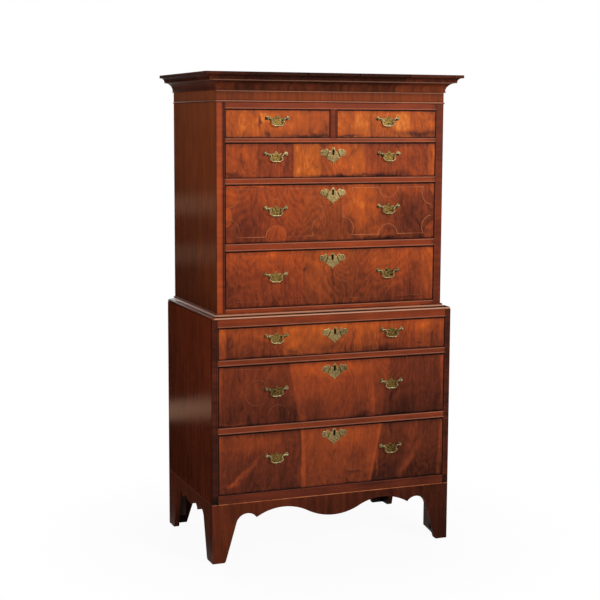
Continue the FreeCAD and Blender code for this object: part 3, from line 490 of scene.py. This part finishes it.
def finished(name, mesh, materials, body, smooth=ROUND):
    """Turns a bmesh into an object that rides on a body; smooth is None for flat faces."""
    for face in mesh.faces:
        face.smooth = smooth is not None
    data = bpy.data.meshes.new(name)
    mesh.to_mesh(data)
    mesh.free()
    if smooth is not None:
        data.set_sharp_from_angle(angle=smooth)
    for material in materials:
        data.materials.append(material)
    made = bpy.data.objects.new(name, data)
    bpy.context.scene.collection.objects.link(made)
    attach(made, body)
    return made


def piece(name, groups, material, body, smooth=ROUND):
    """A new object from groups of faces, smoothed where it is round."""
    mesh = bmesh.new()
    for group in groups:
        known = {}
        for face in group:
            verts = []
            for corner in face:
                key = tuple(round(value * 1e6) for value in corner)
                if key not in known:
                    known[key] = mesh.verts.new(corner)
                verts.append(known[key])
            if len(set(verts)) == len(verts):
                mesh.faces.new(verts)
    return finished(name, mesh, [material], body, smooth)


def loops_of(group, level):
    """The closed outlines of a group's flat face at one depth, the longest one first."""
    edges = {}
    for face in group:
        if max(abs(corner.y - level) for corner in face) < 1e-5:
            corners = [(round(corner.x * 1e6), round(corner.z * 1e6)) for corner in face]
            edges.update(dict.fromkeys(pairs(corners)))
    following = {first: second for first, second in edges if (second, first) not in edges}
    loops = []
    while following:
        start, point = following.popitem()
        loop = [start]
        while point != start:
            loop.append(point)
            point = following.pop(point)
        loops.append([Vector((x * 1e-6, z * 1e-6)) for x, z in loop])
    return sorted(loops, key=lambda loop: -sum((a - b).length for a, b in pairs(loop)))


def inward(loop, distance):
    """A loop drawn in by a distance, its corners kept from running away."""
    area = sum(a.x * b.y - a.y * b.x for a, b in pairs(loop))
    sign = 1 if area > 0 else -1
    drawn = []
    for index, point in enumerate(loop):
        before = (point - loop[index - 1]).normalized()
        after = (loop[(index + 1) % len(loop)] - point).normalized()
        normal = Vector((-before.y - after.y, before.x + after.x)) * sign
        length = max(normal.length, 0.9)
        drawn.append(point + normal / length * distance * 2 / length)
    return drawn


def band(mesh, one, two, material=0):
    """Faces between two rings of as many points."""
    faces = []
    for (first, second), (third, fourth) in zip(pairs(one), pairs(two)):
        face = mesh.faces.new((first, second, fourth, third))
        face.material_index = material
        faces.append(face)
    return faces


def cast_plate(mesh, group, field):
    """A brass plate with an eased edge, a raised rim and a sunk field, added to a bmesh.

    The field takes material number field and the rim the next one.
    """
    size, corner = group_size(group)
    outline, *holes = loops_of(group, corner.y)
    rim = field + 1
    # how far in from the edge, how far back from the face, and the material of the band before it
    profile = [(0.0, size.y, field), (0.0, 0.0007, rim), (0.0003, 0.0002, rim),
               (0.0008, 0.0, rim), (0.0016, 0.0, rim), (0.0021, 0.0005, field)]

    def ring(points, back):
        return [mesh.verts.new((point.x, corner.y + back, point.y)) for point in points]

    rings = [ring(inward(outline, distance), back) for distance, back, _ in profile]
    made = []
    for one, two, (_, _, material) in zip(rings, rings[1:], profile[1:]):
        made += band(mesh, one, two, material)
    fronts, backs = [rings[-1]], [rings[0]]
    for hole in holes:
        fronts.append(ring(hole, profile[-1][1]))
        backs.append(ring(hole, size.y))
        made += band(mesh, fronts[-1], backs[-1])
    for rims in (fronts, backs):
        edges = [mesh.edges.get(ends) or mesh.edges.new(ends)
                 for rim in rims for ends in pairs(rim)]
        filled = bmesh.ops.triangle_fill(mesh, use_beauty=True, use_dissolve=False, edges=edges)
        faces = [item for item in filled["geom"] if isinstance(item, bmesh.types.BMFace)]
        for face in faces:
            face.material_index = field
        made += faces
    bmesh.ops.recalc_face_normals(mesh, faces=made)


def paint(node, material):
    """Gives a CAD node its material."""
    data = NODES[node].data
    data.materials.clear()
    data.materials.append(material)


# ---------------------------- stringing

def arc(centre, radius, start, end):
    """Points along an arc on the front; angles in degrees, 0 towards +x, 90 upwards."""
    steps = max(4, int(abs(end - start) / 9))
    angles = [math.radians(start + (end - start) * step / steps) for step in range(steps + 1)]
    return [(centre[0] + radius * math.cos(angle), centre[1] + radius * math.sin(angle))
            for angle in angles]


def inlay(name, lines, front, body, material, width=1.6, side=None):
    """Thin strips let into a face along lines of points; side turns them onto the side boards."""
    proud, sunk = 0.1, 0.3
    mesh = bmesh.new()
    for line in lines:
        rows = []
        for index, (along, up) in enumerate(line):
            before = line[max(index - 1, 0)]
            after = line[min(index + 1, len(line) - 1)]
            course = Vector((after[0] - before[0], after[1] - before[1])).normalized()
            normal = Vector((-course.y, course.x)) * width / 2
            row = []
            for sign, depth in ((1, -proud), (-1, -proud), (-1, sunk), (1, sunk)):
                x, z = along + normal.x * sign, up + normal.y * sign
                corner = (x * MM, front + depth * MM, z * MM)
                if side:
                    corner = (side * (front - depth * MM), x * MM, z * MM)
                row.append(mesh.verts.new(corner))
            rows.append(row)
        for one, two in zip(rows, rows[1:]):
            band(mesh, one, two)
        mesh.faces.new(list(reversed(rows[0])))
        mesh.faces.new(rows[-1])
    bmesh.ops.recalc_face_normals(mesh, faces=mesh.faces)
    return finished(name, mesh, [material], body, smooth=None)


def panel_lines(top, bottom):
    """The drawn panel of a long drawer: hollow corners, lobes at the handles and the middle."""
    out, middle, inset, radius = 409, 40, 24, 43
    lobe_out, lobe = 225, 38
    lean = math.degrees(math.asin(inset / radius))
    reach = radius * math.cos(math.radians(lean))
    lines = []
    for level, turn in ((top - inset, 1), (bottom + inset, -1)):
        edge = level + inset * turn
        hollow = arc((-out, level), radius, lean * turn, -85 * turn)
        heart = arc((middle, level), radius, -90 * turn, lean * turn)
        for side in (-1, 1):
            lines.append([(-x * side, z) for x, z in hollow])
            lines.append([(x * side, z) for x, z in heart])
            lines.append([(side * (out - reach), edge), (side * (lobe_out + lobe), edge)])
            lines.append([(side * (lobe_out - lobe), edge), (side * (middle + reach), edge)])
            lines.append(arc((lobe_out * side, edge), lobe, 0, -180 * turn))
    for x in (-middle, middle):
        lines.append([(x, top - inset - radius), (x, bottom + inset + radius)])
    return lines


# ---------------------------- the drawers

# What veneered_front draws on each drawer.
FIGURES = {
    "top_left_drawer": dict(
        leaves=[(-424, .72, .76, .5), (-373, .82, .84, .3), (-292, .80, .78, .4),
                (-178, .77, .75, .5), (-95, .73, .70, .6)],
        blobs=[(-288, 1612, 7, 34, -.45, 0), (-262, 1566, 18, 16, -.35, 0),
               (-90, 1562, 90, 9, -.35, 0), (-430, 1612, 14, 60, -.25, 0),
               (-350, 1600, 30, 36, .1, 0), (-270, 1630, 40, 26, .14, 0),
               (-30, 1590, 26, 40, -.12, 0), (-200, 1600, 50, 24, .1, 0)],
        fades=(0, -.12)),
    "top_right_drawer": dict(
        leaves=[(13, .78, .78, .4), (84, .84, .86, .2), (150, .77, .78, .4),
                (250, .86, .86, .1), (310, .74, .68, .5)],
        blobs=[(150, 1600, 6, 60, -.2, 0), (330, 1575, 90, 14, -.35, 0),
               (60, 1561, 60, 7, -.35, 0), (110, 1604, 30, 40, .08, 0),
               (270, 1606, 24, 44, .1, 0), (400, 1600, 30, 20, .12, 30),
               (210, 1640, 80, 12, .1, 0)],
        fades=(0, -.1)),
    "upper_drawer_1": dict(
        leaves=[(-424, .66, .66, .8), (-294, .60, .58, .9), (-183, .50, .50, .9),
                (-156, .77, .78, .2), (-50, .66, .68, .6), (54, .71, .69, .4),
                (131, .60, .58, .8), (354, .60, .56, .8), (388, .66, .68, .6)],
        blobs=[(-385, 1426, 50, 9, -.24, 0), (-178, 1480, 10, 90, -.1, 0),
               (60, 1418, 200, 10, -.32, 0), (230, 1422, 90, 16, -.3, 0),
               (30, 1452, 44, 30, .16, 0), (-290, 1480, 6, 90, -.12, 0),
               (-240, 1440, 30, 60, -.12, 0), (-330, 1500, 50, 30, .08, 0),
               (96, 1470, 30, 60, .07, 0), (415, 1480, 12, 60, .16, 0),
               (-100, 1470, 40, 50, .08, 0), (-190, 1428, 14, 30, -.1, 0),
               (300, 1510, 110, 30, .08, 0)],
        flames=[(20, 1440, 90, .12)]),
    "upper_drawer_2": dict(
        leaves=[(-424, .58, .55, .9), (-298, .55, .57, .9), (-119, .56, .57, .6),
                (54, .57, .55, .6), (204, .53, .42, .8)],
        blobs=[(-290, 1384, 120, 6, .2, 0), (-180, 1280, 120, 90, .07, -30),
               (-340, 1250, 70, 80, -.1, 0), (330, 1372, 130, 26, .12, 0),
               (-60, 1366, 60, 24, .1, 0), (60, 1320, 60, 60, .06, 0),
               (110, 1300, 24, 90, .12, 0), (190, 1182, 90, 12, -.34, 0),
               (300, 1290, 60, 90, -.1, 0), (-400, 1200, 40, 26, .06, 0),
               (110, 1384, 60, 8, .1, 0), (60, 1290, 34, 40, .08, 0),
               (-380, 1345, 26, 30, .06, 0)],
        inlaid=[(-222, 1198, 43, 45, .13), (-412, 1272, 20, 36, .17), (420, 1196, 44, 50, .17),
                (424, 1386, 26, 52, .17), (-409, 1349, 42, 42, .04)],
        flames=[(-62, 1190, 260, .34)],
        strips=[(40, 150, 120, 215, .1, 24), (-470, -408, -470, -424, .05, 8)],
        fades=(.07, -.10)),
    "upper_drawer_3": dict(
        leaves=[(-424, .56, .55, .9), (-310, .56, .58, .9), (-116, .51, .49, .6),
                (93, .50, .49, .7), (240, .54, .55, .8), (364, .58, .62, .7)],
        blobs=[(-250, 1130, 90, 22, .06, 0), (-260, 985, 100, 50, .05, 10),
               (-400, 1010, 60, 120, -.08, 0), (410, 1060, 26, 140, .1, 0),
               (310, 956, 60, 8, -.12, 0), (-60, 1040, 90, 90, .08, 0),
               (250, 1020, 60, 50, .08, 20), (190, 1080, 90, 50, .08, 0),
               (60, 958, 60, 12, .06, 0)],
        flames=[(-80, 960, 200, .2)],
        strips=[(-60, 60, -120, -30, .06, 20), (330, 350, 300, 330, -.06, 14)],
        fades=(.13, -.11)),
    "lower_drawer_1": dict(
        leaves=[(-457, .68, .64, .6), (-425, .47, .49, .7), (-205, .63, .64, .4),
                (50, .60, .61, .6), (110, .54, .64, .5), (180, .52, .54, .7),
                (262, .51, .52, .8), (352, .58, .56, .6), (395, .48, .50, .7)],
        blobs=[(-300, 830, 120, 50, .06, 0), (-160, 800, 90, 50, .08, 0),
               (190, 772, 90, 20, -.22, 0), (10, 782, 90, 26, -.12, 0),
               (360, 850, 50, 24, .08, 0), (100, 820, 30, 50, .1, 0),
               (-425, 820, 30, 60, -.08, 0), (430, 800, 22, 60, .06, 0)],
        fades=(.15, -.08), wave=0.28),
    "lower_drawer_2": dict(
        leaves=[(-457, .40, .35, .8)],
        blobs=[(-92, 550, 60, 84, -.11, 0), (-108, 712, 30, 44, .08, 0),
               (-50, 700, 90, 40, .1, 0), (80, 700, 110, 30, .1, 0),
               (-400, 520, 70, 8, .16, 0), (257, 596, 5, 5, -.3, 0),
               (100, 560, 90, 40, -.04, 0), (150, 560, 22, 90, .12, -6),
               (110, 520, 60, 12, -.2, 0), (240, 505, 110, 14, -.12, 0),
               (-190, 560, 36, 80, -.08, 12)],
        flames=[(-118, 470, 150, .2)],
        strips=[(-182, 150, -142, 168, .16, 5), (-156, -96, -134, -118, .05, 8),
                (146, 152, 166, 170, .05, 3), (150, 226, 168, 194, .11, 7),
                (-470, -440, -470, -450, .12, 4), (440, 470, 447, 470, .12, 4),
                (-96, 80, -126, -60, .03, 16)],
        fades=(.07, -.11), wave=0.2),
    "lower_drawer_3": dict(
        leaves=[(-457, .40, .36, .8), (-134, .53, .52, .7)],
        blobs=[(-310, 440, 150, 46, .12, 0), (-330, 350, 70, 14, .2, 44),
               (-385, 315, 50, 12, .24, 44), (-410, 292, 50, 12, .2, 10),
               (-139, 300, 12, 50, .18, 0), (60, 430, 120, 60, .08, 0),
               (-20, 330, 120, 60, .05, 0), (330, 350, 80, 24, .14, 60),
               (300, 300, 60, 26, .12, 50), (86, 300, 50, 9, -.14, 0),
               (150, 330, 26, 60, .08, 0), (178, 330, 8, 60, .2, 0), (80, 380, 60, 66, -.06, 0)],
        strips=[(196, 470, 152, 470, -.21, 5), (186, 198, 140, 153, .08, 4),
                (444, 470, 428, 470, .16, 4), (-470, -444, -470, -453, .12, 4),
                (-132, -122, -132, -112, .08, 5), (340, 356, 262, 278, .07, 9)],
        fades=(.06, -.09), wave=0.22),
}

brass_plate = old_brass("brass_plate", srgb(152, 122, 64), srgb(30, 20, 11), 0.5, 1.8)
brass_rim = old_brass("brass_rim", srgb(150, 132, 82), srgb(48, 37, 20), 0.42, 1.3)
pale_rim = old_brass("brass_escutcheon_rim", srgb(198, 174, 122), srgb(98, 78, 44), 0.42, 1.0)
brass_bright = old_brass("brass_bails", srgb(200, 182, 134), srgb(84, 68, 40), 0.38, 1.1)
iron = forged_iron("lock_iron")
string_half = boxwood("boxwood_string_half", srgb(194, 114, 68), srgb(124, 58, 32))
string_light = boxwood("boxwood_string", srgb(192, 116, 68), srgb(126, 58, 32))
string_faint = boxwood("boxwood_string_faint", srgb(150, 78, 44), srgb(98, 44, 26))
box_oak = unpolished("oak_linings", srgb(158, 118, 74), srgb(92, 62, 36), "y")


def kind_of(group):
    """Whether a solid of the brasses is a plate, a lock case, or a post or nut, by its size."""
    plate_depth, lock_depth, post_width = 0.003, 0.012, 0.04
    size, _ = group_size(group)
    if size.x < post_width:
        return "turned"
    if size.y < plate_depth:
        return "plate"
    return "lock" if abs(size.y - lock_depth) < MM else "turned"


def cast_plates(drawer, plates):
    """The plates of a drawer as one piece; the escutcheon's rim is paler than a backplate's."""
    backplate_height, keyhole_drop = 0.055, 0.0186
    castings = bmesh.new()
    brasses = [brass_plate, brass_rim]
    for plate in plates:
        size, corner = group_size(plate)
        if size.z > backplate_height:
            cast_plate(castings, plate, len(brasses))
            keyhole = corner.z + size.z - keyhole_drop
            brasses += [old_brass(drawer + "_escutcheon", srgb(182, 156, 102), srgb(60, 45, 26),
                                  0.5, 1.1, keyhole), pale_rim]
        else:
            cast_plate(castings, plate, 0)
    return finished(drawer + "_plates", castings, brasses, drawer)


for drawer, figure in FIGURES.items():
    paint(drawer + "_front",
          veneered_front(drawer + "_veneer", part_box(drawer + "_front"), **figure))
    paint(drawer + "_box", box_oak)
    parts = {"plate": [], "lock": [], "turned": []}
    for group in loose_solids(drawer + "_brasses"):
        parts[kind_of(group)].append(group)
    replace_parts(cast_plates(drawer, parts["plate"]), drawer + "_brasses")
    piece(drawer + "_posts", parts["turned"], brass_bright, drawer)
    if parts["lock"]:
        piece(drawer + "_lock_case", parts["lock"], iron, drawer)
        paint(drawer + "_lock_bolt", iron)

for node in [name for name in NODES if name.endswith("_bail")]:
    swan = piece(node + "_wire", loose_solids(node), brass_bright, node)
    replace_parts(swan, node)

# The stringing of the long drawers, as strongly as it still shows.
panel = panel_lines(1373, 1198)
right_half_starts = 60
inlay("upper_drawer_2_stringing", [line for line in panel if line[0][0] < right_half_starts],
      UPPER_FRONT, "upper_drawer_2", string_half, width=1.5)
inlay("upper_drawer_2_stringing_right", [line for line in panel if line[0][0] >= right_half_starts],
      UPPER_FRONT, "upper_drawer_2", string_light)
inlay("upper_drawer_3_stringing", panel_lines(1134, 962), UPPER_FRONT, "upper_drawer_3",
      string_faint, width=1.1)
inlay("lower_drawer_2_stringing",
      [[(-430, 722), (-292, 718)], arc((-306, 629), 48, 0, 360), arc((-228, 706), 38, 180, 360),
       arc((-224, 540), 40, 0, 180)],
      LOWER_FRONT, "lower_drawer_2", string_faint, width=1.2)
inlay("lower_drawer_3_stringing", [arc((85, 386), 78, 186, 340)], LOWER_FRONT, "lower_drawer_3",
      string_faint, width=1.2)


# ---------------------------- the cases

def seams(shade, axis, pitch, depth):
    """Cross-banded lengths: each a little lighter or darker, with a dark joint between them."""
    cell = axis * (1 / pitch) + shade.noise(shade.place, 3.0, 0.0) * 0.4
    random = shade.add("ShaderNodeTexWhiteNoise", noise_dimensions="1D",
                       inputs={"W": shade.math("FLOOR", cell)})
    inside = shade.math("FRACT", cell)
    joint = shade.ease(shade.least(inside, 1.0 - inside), 0.0, 0.02, -0.16, 0.0)
    return (Term(shade, random.outputs["Value"]) - 0.5) * (depth * 0.3) + joint


def painted_frame_shade(shade, front):
    """Painted shade at the roots of the beads and on the walls of the openings."""
    # Painted shade in the crease at each bead's root, and darker still inside the openings.
    root = shade.near(shade.y, front - 0.0006, 0.0001, 0.0003) * -0.3
    return root + shade.ease(shade.y, front + 0.0005, front + 0.002, 0.0, -0.5)


def bead_highlights(shade, front, stile, amount):
    """Painted highlights on the tops of the beads along the rails, between the stiles; not the
    lowest.
    """
    return (shade.ease(shade.y, front - 0.0018, front - 0.0008, amount, 0.0)
            * shade.ease(abs(shade.x), stile - 0.0008, stile + 0.0012, 1.0, 0.1)
            * shade.ease(shade.z, LOWEST_DRAWER + 0.0017, LOWEST_DRAWER + 0.0067))


def on_muntin(shade):
    """1 on the upright between the two short drawers."""
    return (shade.ease(abs(shade.x), SHORT_LOW.x - 0.0007, SHORT_LOW.x + 0.0003, 1.0, 0.0)
            * shade.ease(shade.z, SHORT_LOW.z - 0.0063, SHORT_LOW.z + 0.0007)
            * shade.ease(shade.z, SHORT_HIGH.z + 0.0012, SHORT_HIGH.z + 0.0032, 1.0, 0.0))


def upper_side_tone(shade):
    """Painted shade: darker towards the back and the foot."""
    return (shade.ease(shade.y, -0.2, 0.3, 0.0, -.08)
            + shade.ease(shade.z, WAIST - 0.005, CROWN - 0.09, -.1, .1))


def upper_side_painted_light(shade):
    """A painted highlight, paler towards the cornice."""
    return shade.ease(shade.z, WAIST - 0.005, CROWN - 0.09, .01, .06)


def lower_side_tone(shade):
    """Painted shade: darker towards the back and the foot."""
    return (shade.ease(shade.y, -0.25, 0.3, 0.0, -.06)
            + shade.ease(shade.z, BASE_HIGH.z - 0.021, WAIST - 0.005, -.08, .06))


def upper_frame_tone(shade):
    """Lighter left stile with a painted shadow line beside its bead; right stile, top, muntin
    darker.
    """
    return (shade.ease(shade.x, -UPPER_STILE - 0.0182, -UPPER_STILE - 0.0102, .11, 0.0)
            + shade.near(shade.x, -UPPER_STILE - 0.0047, .0035, .004) * -.25
            + shade.ease(shade.x, UPPER_STILE - 0.0178, UPPER_STILE + 0.0022, 0.0, -.16)
            + shade.ease(shade.z, SHORT_HIGH.z + 0.0022, SHORT_HIGH.z + 0.0062, 0.0, -.06)
            + on_muntin(shade) * -.16 + painted_frame_shade(shade, UPPER_FRONT))


def upper_frame_highlights(shade):
    # Painted highlights on the rail beads, none on the muntin.
    return bead_highlights(shade, UPPER_FRONT, UPPER_STILE, .26) * (1.0 - on_muntin(shade))


def lower_frame_tone(shade):
    """Darker stiles, and a darker rail under the lowest drawer."""
    return (shade.ease(abs(shade.x), LOWER_STILE - 0.0008, LOWER_STILE + 0.0032, 0.0, -.26)
            + shade.ease(shade.z, LOWEST_DRAWER - 0.0053, LOWEST_DRAWER + 0.0047, -.17, 0.0)
            + painted_frame_shade(shade, LOWER_FRONT))


def lower_frame_highlights(shade):
    # Painted highlights on the rail beads.
    return bead_highlights(shade, LOWER_FRONT, LOWER_STILE, .22)


def frieze_tone(shade):
    """Painted shade under the cornice and in a line above the bead."""
    return (shade.ease(shade.z, FRIEZE + 0.022, FRIEZE + 0.042, 0.0, -.12)
            + shade.near(shade.z, FRIEZE + 0.0085, .0006, .0016) * -.1)


def frieze_highlight(shade):
    """A painted highlight under the cornice, stronger on the front than on the left side."""
    return (shade.near(shade.z, FRIEZE + 0.0406, .0009, .0008)
            * shade.ease(shade.x, -0.453, -0.448, .06, .5))


def base_tone(shade):
    """Lighter at the left front foot, darker to the right; painted shade at the floor and inner
    faces.
    """
    left_foot = (shade.ease(shade.x, -0.46, -0.38, .1, 0.0)
                 * shade.ease(shade.y, -0.27, -0.262, 1.0, 0.0))
    # Painted shade: on the inner faces here, and towards the floor below.
    inner_face_shade = (shade.ease(abs(shade.x), 0.460, 0.464, -.3, 0.0)
                   * shade.ease(shade.y, -0.262, -0.258))
    return (shade.ease(shade.x, BASE_LOW.x - 0.02, BASE_HIGH.x + 0.02, .02, -.1) + left_foot
            + shade.ease(shade.z, 0.0, 0.12, -.08, 0.0) + inner_face_shade)


def cornice_tone(shade):
    """Cross-banded lengths, darker up at the crown and lighter on the left return."""
    return (shade.ease(shade.z, CROWN - 0.045, CROWN - 0.025, 0.0, -.14)
            + shade.ease(shade.x, -0.462, -0.452, .08, 0.0)
            + seams(shade, shade.x + shade.y, 0.21, .9))


def cornice_highlights(shade):
    """Painted highlights where the profile turns and on the frieze bead, which is in the same node.
    """
    return (shade.near(shade.z, CROWN - 0.0295, .0008, .0016)
            * shade.ease(shade.x, -0.49, -0.46, .1, .4)
            + shade.near(shade.z, FRIEZE + 0.0046, .0007, .0008)
            * shade.ease(shade.x, -0.458, -0.455, .1, .8))


def waist_tone(shade):
    """Cross-banded lengths, with a painted shade line between the two rounds on the front."""
    return (seams(shade, shade.x + shade.y, 0.11, 1.1)
            + shade.near(shade.z, WAIST + 0.0088, .0004, .0014)
            * shade.ease(shade.x, -0.475, -0.465, 0.0, -.35))


def waist_highlights(shade):
    """Painted highlights on the two rounds along the front."""
    return ((shade.near(shade.z, WAIST + 0.004, .0012, .003)
             + shade.near(shade.z, WAIST + 0.0128, .0014, .002))
            * shade.ease(shade.x, -0.475, -0.465, 0.0, .96))


paint("upper_sides", plain_walnut(
    "upper_side_walnut", "z", upper_side_tone, upper_side_painted_light, tone=.55, redness=.5,
    contrast=.5, mottle=.18, gloss=.13, specular=.08))
paint("lower_sides", plain_walnut(
    "lower_side_walnut", "z", lower_side_tone, tone=.42, redness=.95,
    contrast=.4, mottle=.18, gloss=.13, specular=.08))
paint("upper_front_frame", plain_walnut(
    "upper_frame_walnut", "x", upper_frame_tone, upper_frame_highlights, tone=.58, redness=1.0,
    contrast=.34, mottle=.36, gloss=.4, specular=.07))
paint("lower_front_frame", plain_walnut(
    "lower_frame_walnut", "x", lower_frame_tone, lower_frame_highlights, tone=.50, redness=.9,
    contrast=.34, mottle=.4, gloss=.4, specular=.07))
paint("frieze", plain_walnut(
    "frieze_crossband", "z", frieze_tone, frieze_highlight, tone=.49, redness=.5,
    contrast=.36, mottle=.2, gloss=.5, specular=.04, streaks=150.0))
paint("bracket_base", plain_walnut(
    "base_walnut", "z", base_tone, tone=.30, redness=.7,
    contrast=.4, mottle=.26, gloss=.5, specular=.03, streaks=40.0))
moulding = plain_walnut(
    "cornice_crossband", "z", cornice_tone, cornice_highlights, tone=.385, redness=.6,
    contrast=.4, mottle=.24, gloss=.5, specular=.03)
waist = plain_walnut(
    "waist_crossband", "z", waist_tone, waist_highlights, tone=.46, redness=.6,
    contrast=.34, mottle=.2, gloss=.5, specular=.04)
for node, material in (("cornice", moulding), ("waist_moulding", waist)):
    run = piece(node + "_run", loose_solids(node), material, "root",
                smooth=math.radians(28))
    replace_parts(run, node)

for node in ("lower_back_boards", "upper_back_boards"):
    paint(node, unpolished(node + "_pine", srgb(142, 98, 58), srgb(82, 52, 30), "z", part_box(node)))
pine_across = unpolished("old_pine_boards", srgb(138, 96, 58), srgb(80, 50, 28), "x")
oak = unpolished("oak_runners", srgb(140, 104, 64), srgb(80, 54, 32), "y")
blocks = unpolished("old_blocks", srgb(62, 40, 26), srgb(28, 17, 12), "z")
for node, material in (("glue_blocks", blocks), ("lower_top_and_bottom", pine_across),
                       ("upper_top_and_bottom", pine_across), ("lower_runners", oak),
                       ("upper_runners", oak), ("drawer_stops", oak)):
    paint(node, material)

front_run, side_run = [[(low / MM, BASE_HIGH.z / MM), (high / MM, BASE_HIGH.z / MM)]
                       for low, high in ((BASE_LOW.x, BASE_HIGH.x), (BASE_LOW.y, BASE_HIGH.y))]
inlay("base_string", [front_run], LOWER_FRONT, "root", string_half, width=2.8)
for name, side in (("left", -1), ("right", 1)):
    inlay("base_string_" + name, [side_run], BASE_HIGH.x, "root", string_faint, width=2.0,
          side=side)


# ---------------------------- studio

def stage_plane(name, left, right, near, far, bottom, top, material):
    """A plane of the studio, from its near edge at the bottom to its far edge at the top."""
    data = bpy.data.meshes.new(name)
    data.from_pydata([(left, near, bottom), (right, near, bottom), (right, far, top),
                      (left, far, top)], [], [(0, 1, 2, 3)])
    data.materials.append(material)
    made = bpy.data.objects.new(name, data)
    bpy.context.scene.collection.objects.link(made)
    return made


def floor_material():
    """Pale and matt; the camera and mirrors see it nearly white, with the object's shadow."""
    shade = Shade("floor_pale")
    cloud = shade.noise(shade.place, 1.5, 2.0)
    colour = shade.ramp(cloud + 0.5, [(0.0, srgb(228, 228, 228)), (1.0, srgb(232, 232, 232))])
    shade.surface(colour, 0.9, 0.0)
    white = shade.add("ShaderNodeEmission", WHITE, 1.0)
    far = shade.ease(shade.length(shade.place), 0.4, 1.3, 0.94, 1.0)
    blend = shade.add("ShaderNodeMixShader", shade.seen_directly() * far,
                      shade.shader.outputs[0], white.outputs[0])
    shade.feed(shade.output.inputs[0], blend.outputs[0])
    return shade.material


def card_material(name, bands=()):
    """Dark cloth that the polish mirrors; a band is a height and how much light it gives off."""
    shade = Shade(name)
    cloud = shade.noise(shade.place, 2.0, 2.0)
    colour = shade.ramp(cloud + 0.5, [(0.0, srgb(20, 16, 15)), (1.0, srgb(34, 28, 26))])
    if bands:
        first, *others = [shade.near(shade.z, height, 0.015, 0.055) * strength
                          for height, strength in bands]
        shade.feed(shade.shader.inputs["Emission Color"], (1.0, 0.6, 0.4, 1.0))
        shade.feed(shade.shader.inputs["Emission Strength"], sum(others, first))
    return shade.surface(colour, 0.95, 0.0)


def area_light(name, place, target, width, height, power):
    """A lamp that faces a target."""
    data = bpy.data.lights.new(name, "AREA")
    data.shape = "RECTANGLE"
    data.size, data.size_y = width, height
    data.energy = power
    lamp = bpy.data.objects.new(name, data)
    lamp.location = place
    lamp.rotation_euler = (Vector(target) - Vector(place)).to_track_quat("-Z", "Y").to_euler()
    bpy.context.scene.collection.objects.link(lamp)


def studio_world():
    """A dim sky that lights, seen as plain white."""
    world = bpy.data.worlds.new("studio")
    bpy.context.scene.world = world
    world.use_nodes = True
    sky = Nodes(world.node_tree)
    dim = sky.add("ShaderNodeBackground", (0.9, 0.95, 1.0, 1.0), 0.12)
    white = sky.add("ShaderNodeBackground", WHITE, 1.0)
    both = sky.add("ShaderNodeMixShader", sky.seen_directly(), dim.outputs[0], white.outputs[0])
    sky.add("ShaderNodeOutputWorld", both.outputs[0])


def photo_camera():
    """The camera that was fitted to the corners of the cases in the photo; angles in degrees."""
    down, rightwards, roll = 7.38, 21.26, 0.25
    data = bpy.data.cameras.new("camera")
    data.lens = 82.85
    data.sensor_width = 36.0
    data.clip_end = 60.0
    camera = bpy.data.objects.new("camera", data)
    camera.location = (-1.964, -4.962, 1.617)
    aim = Euler((math.radians(90 - down), 0.0, math.radians(-rightwards))).to_matrix()
    camera.rotation_euler = (aim @ Matrix.Rotation(math.radians(roll), 3, "Z")).to_euler()
    bpy.context.scene.collection.objects.link(camera)
    bpy.context.scene.camera = camera


stage_plane("floor", -8, 8, -8, 8, -0.0005, -0.0005, floor_material())
banded = card_material("card_banded", [(0.33, 0.74), (1.03, 0.22), (1.25, 0.3)])
plain = card_material("card_plain")
for name, *edges, material in (    # left, right, near, far, bottom and top, as in stage_plane
        ("card_left", -3.0, -0.5, 0.9, 0.9, 0.0, 2.6, banded),
        ("card_right", 0.5, 3.0, 0.9, 0.9, 0.0, 2.6, banded),
        ("card_front", -2.4, 4.4, -2.8, -2.8, 0.0, 2.6, plain),
        ("card_floor_left", -3.0, -0.52, -1.6, 0.9, 0.001, 0.001, plain),
        ("card_floor_right", 0.52, 3.0, -1.6, 0.9, 0.001, 0.001, plain)):
    card = stage_plane(name, *edges, material)
    card.visible_camera = False
    card.visible_diffuse = False
    card.visible_shadow = False
    card.visible_transmission = False

area_light("key", (1.9, -4.2, 3.0), (0.0, -0.2, 0.9), 1.6, 1.6, 165)
area_light("fill", (-3.2, -3.2, 1.6), (0.0, 0.0, 0.8), 1.8, 1.8, 42)
area_light("back_fill", (0.0, 4.5, 2.6), (0.0, 0.3, 0.9), 2.4, 1.6, 120)
studio_world()
photo_camera()
bpy.context.scene.view_settings.view_transform = "Standard"
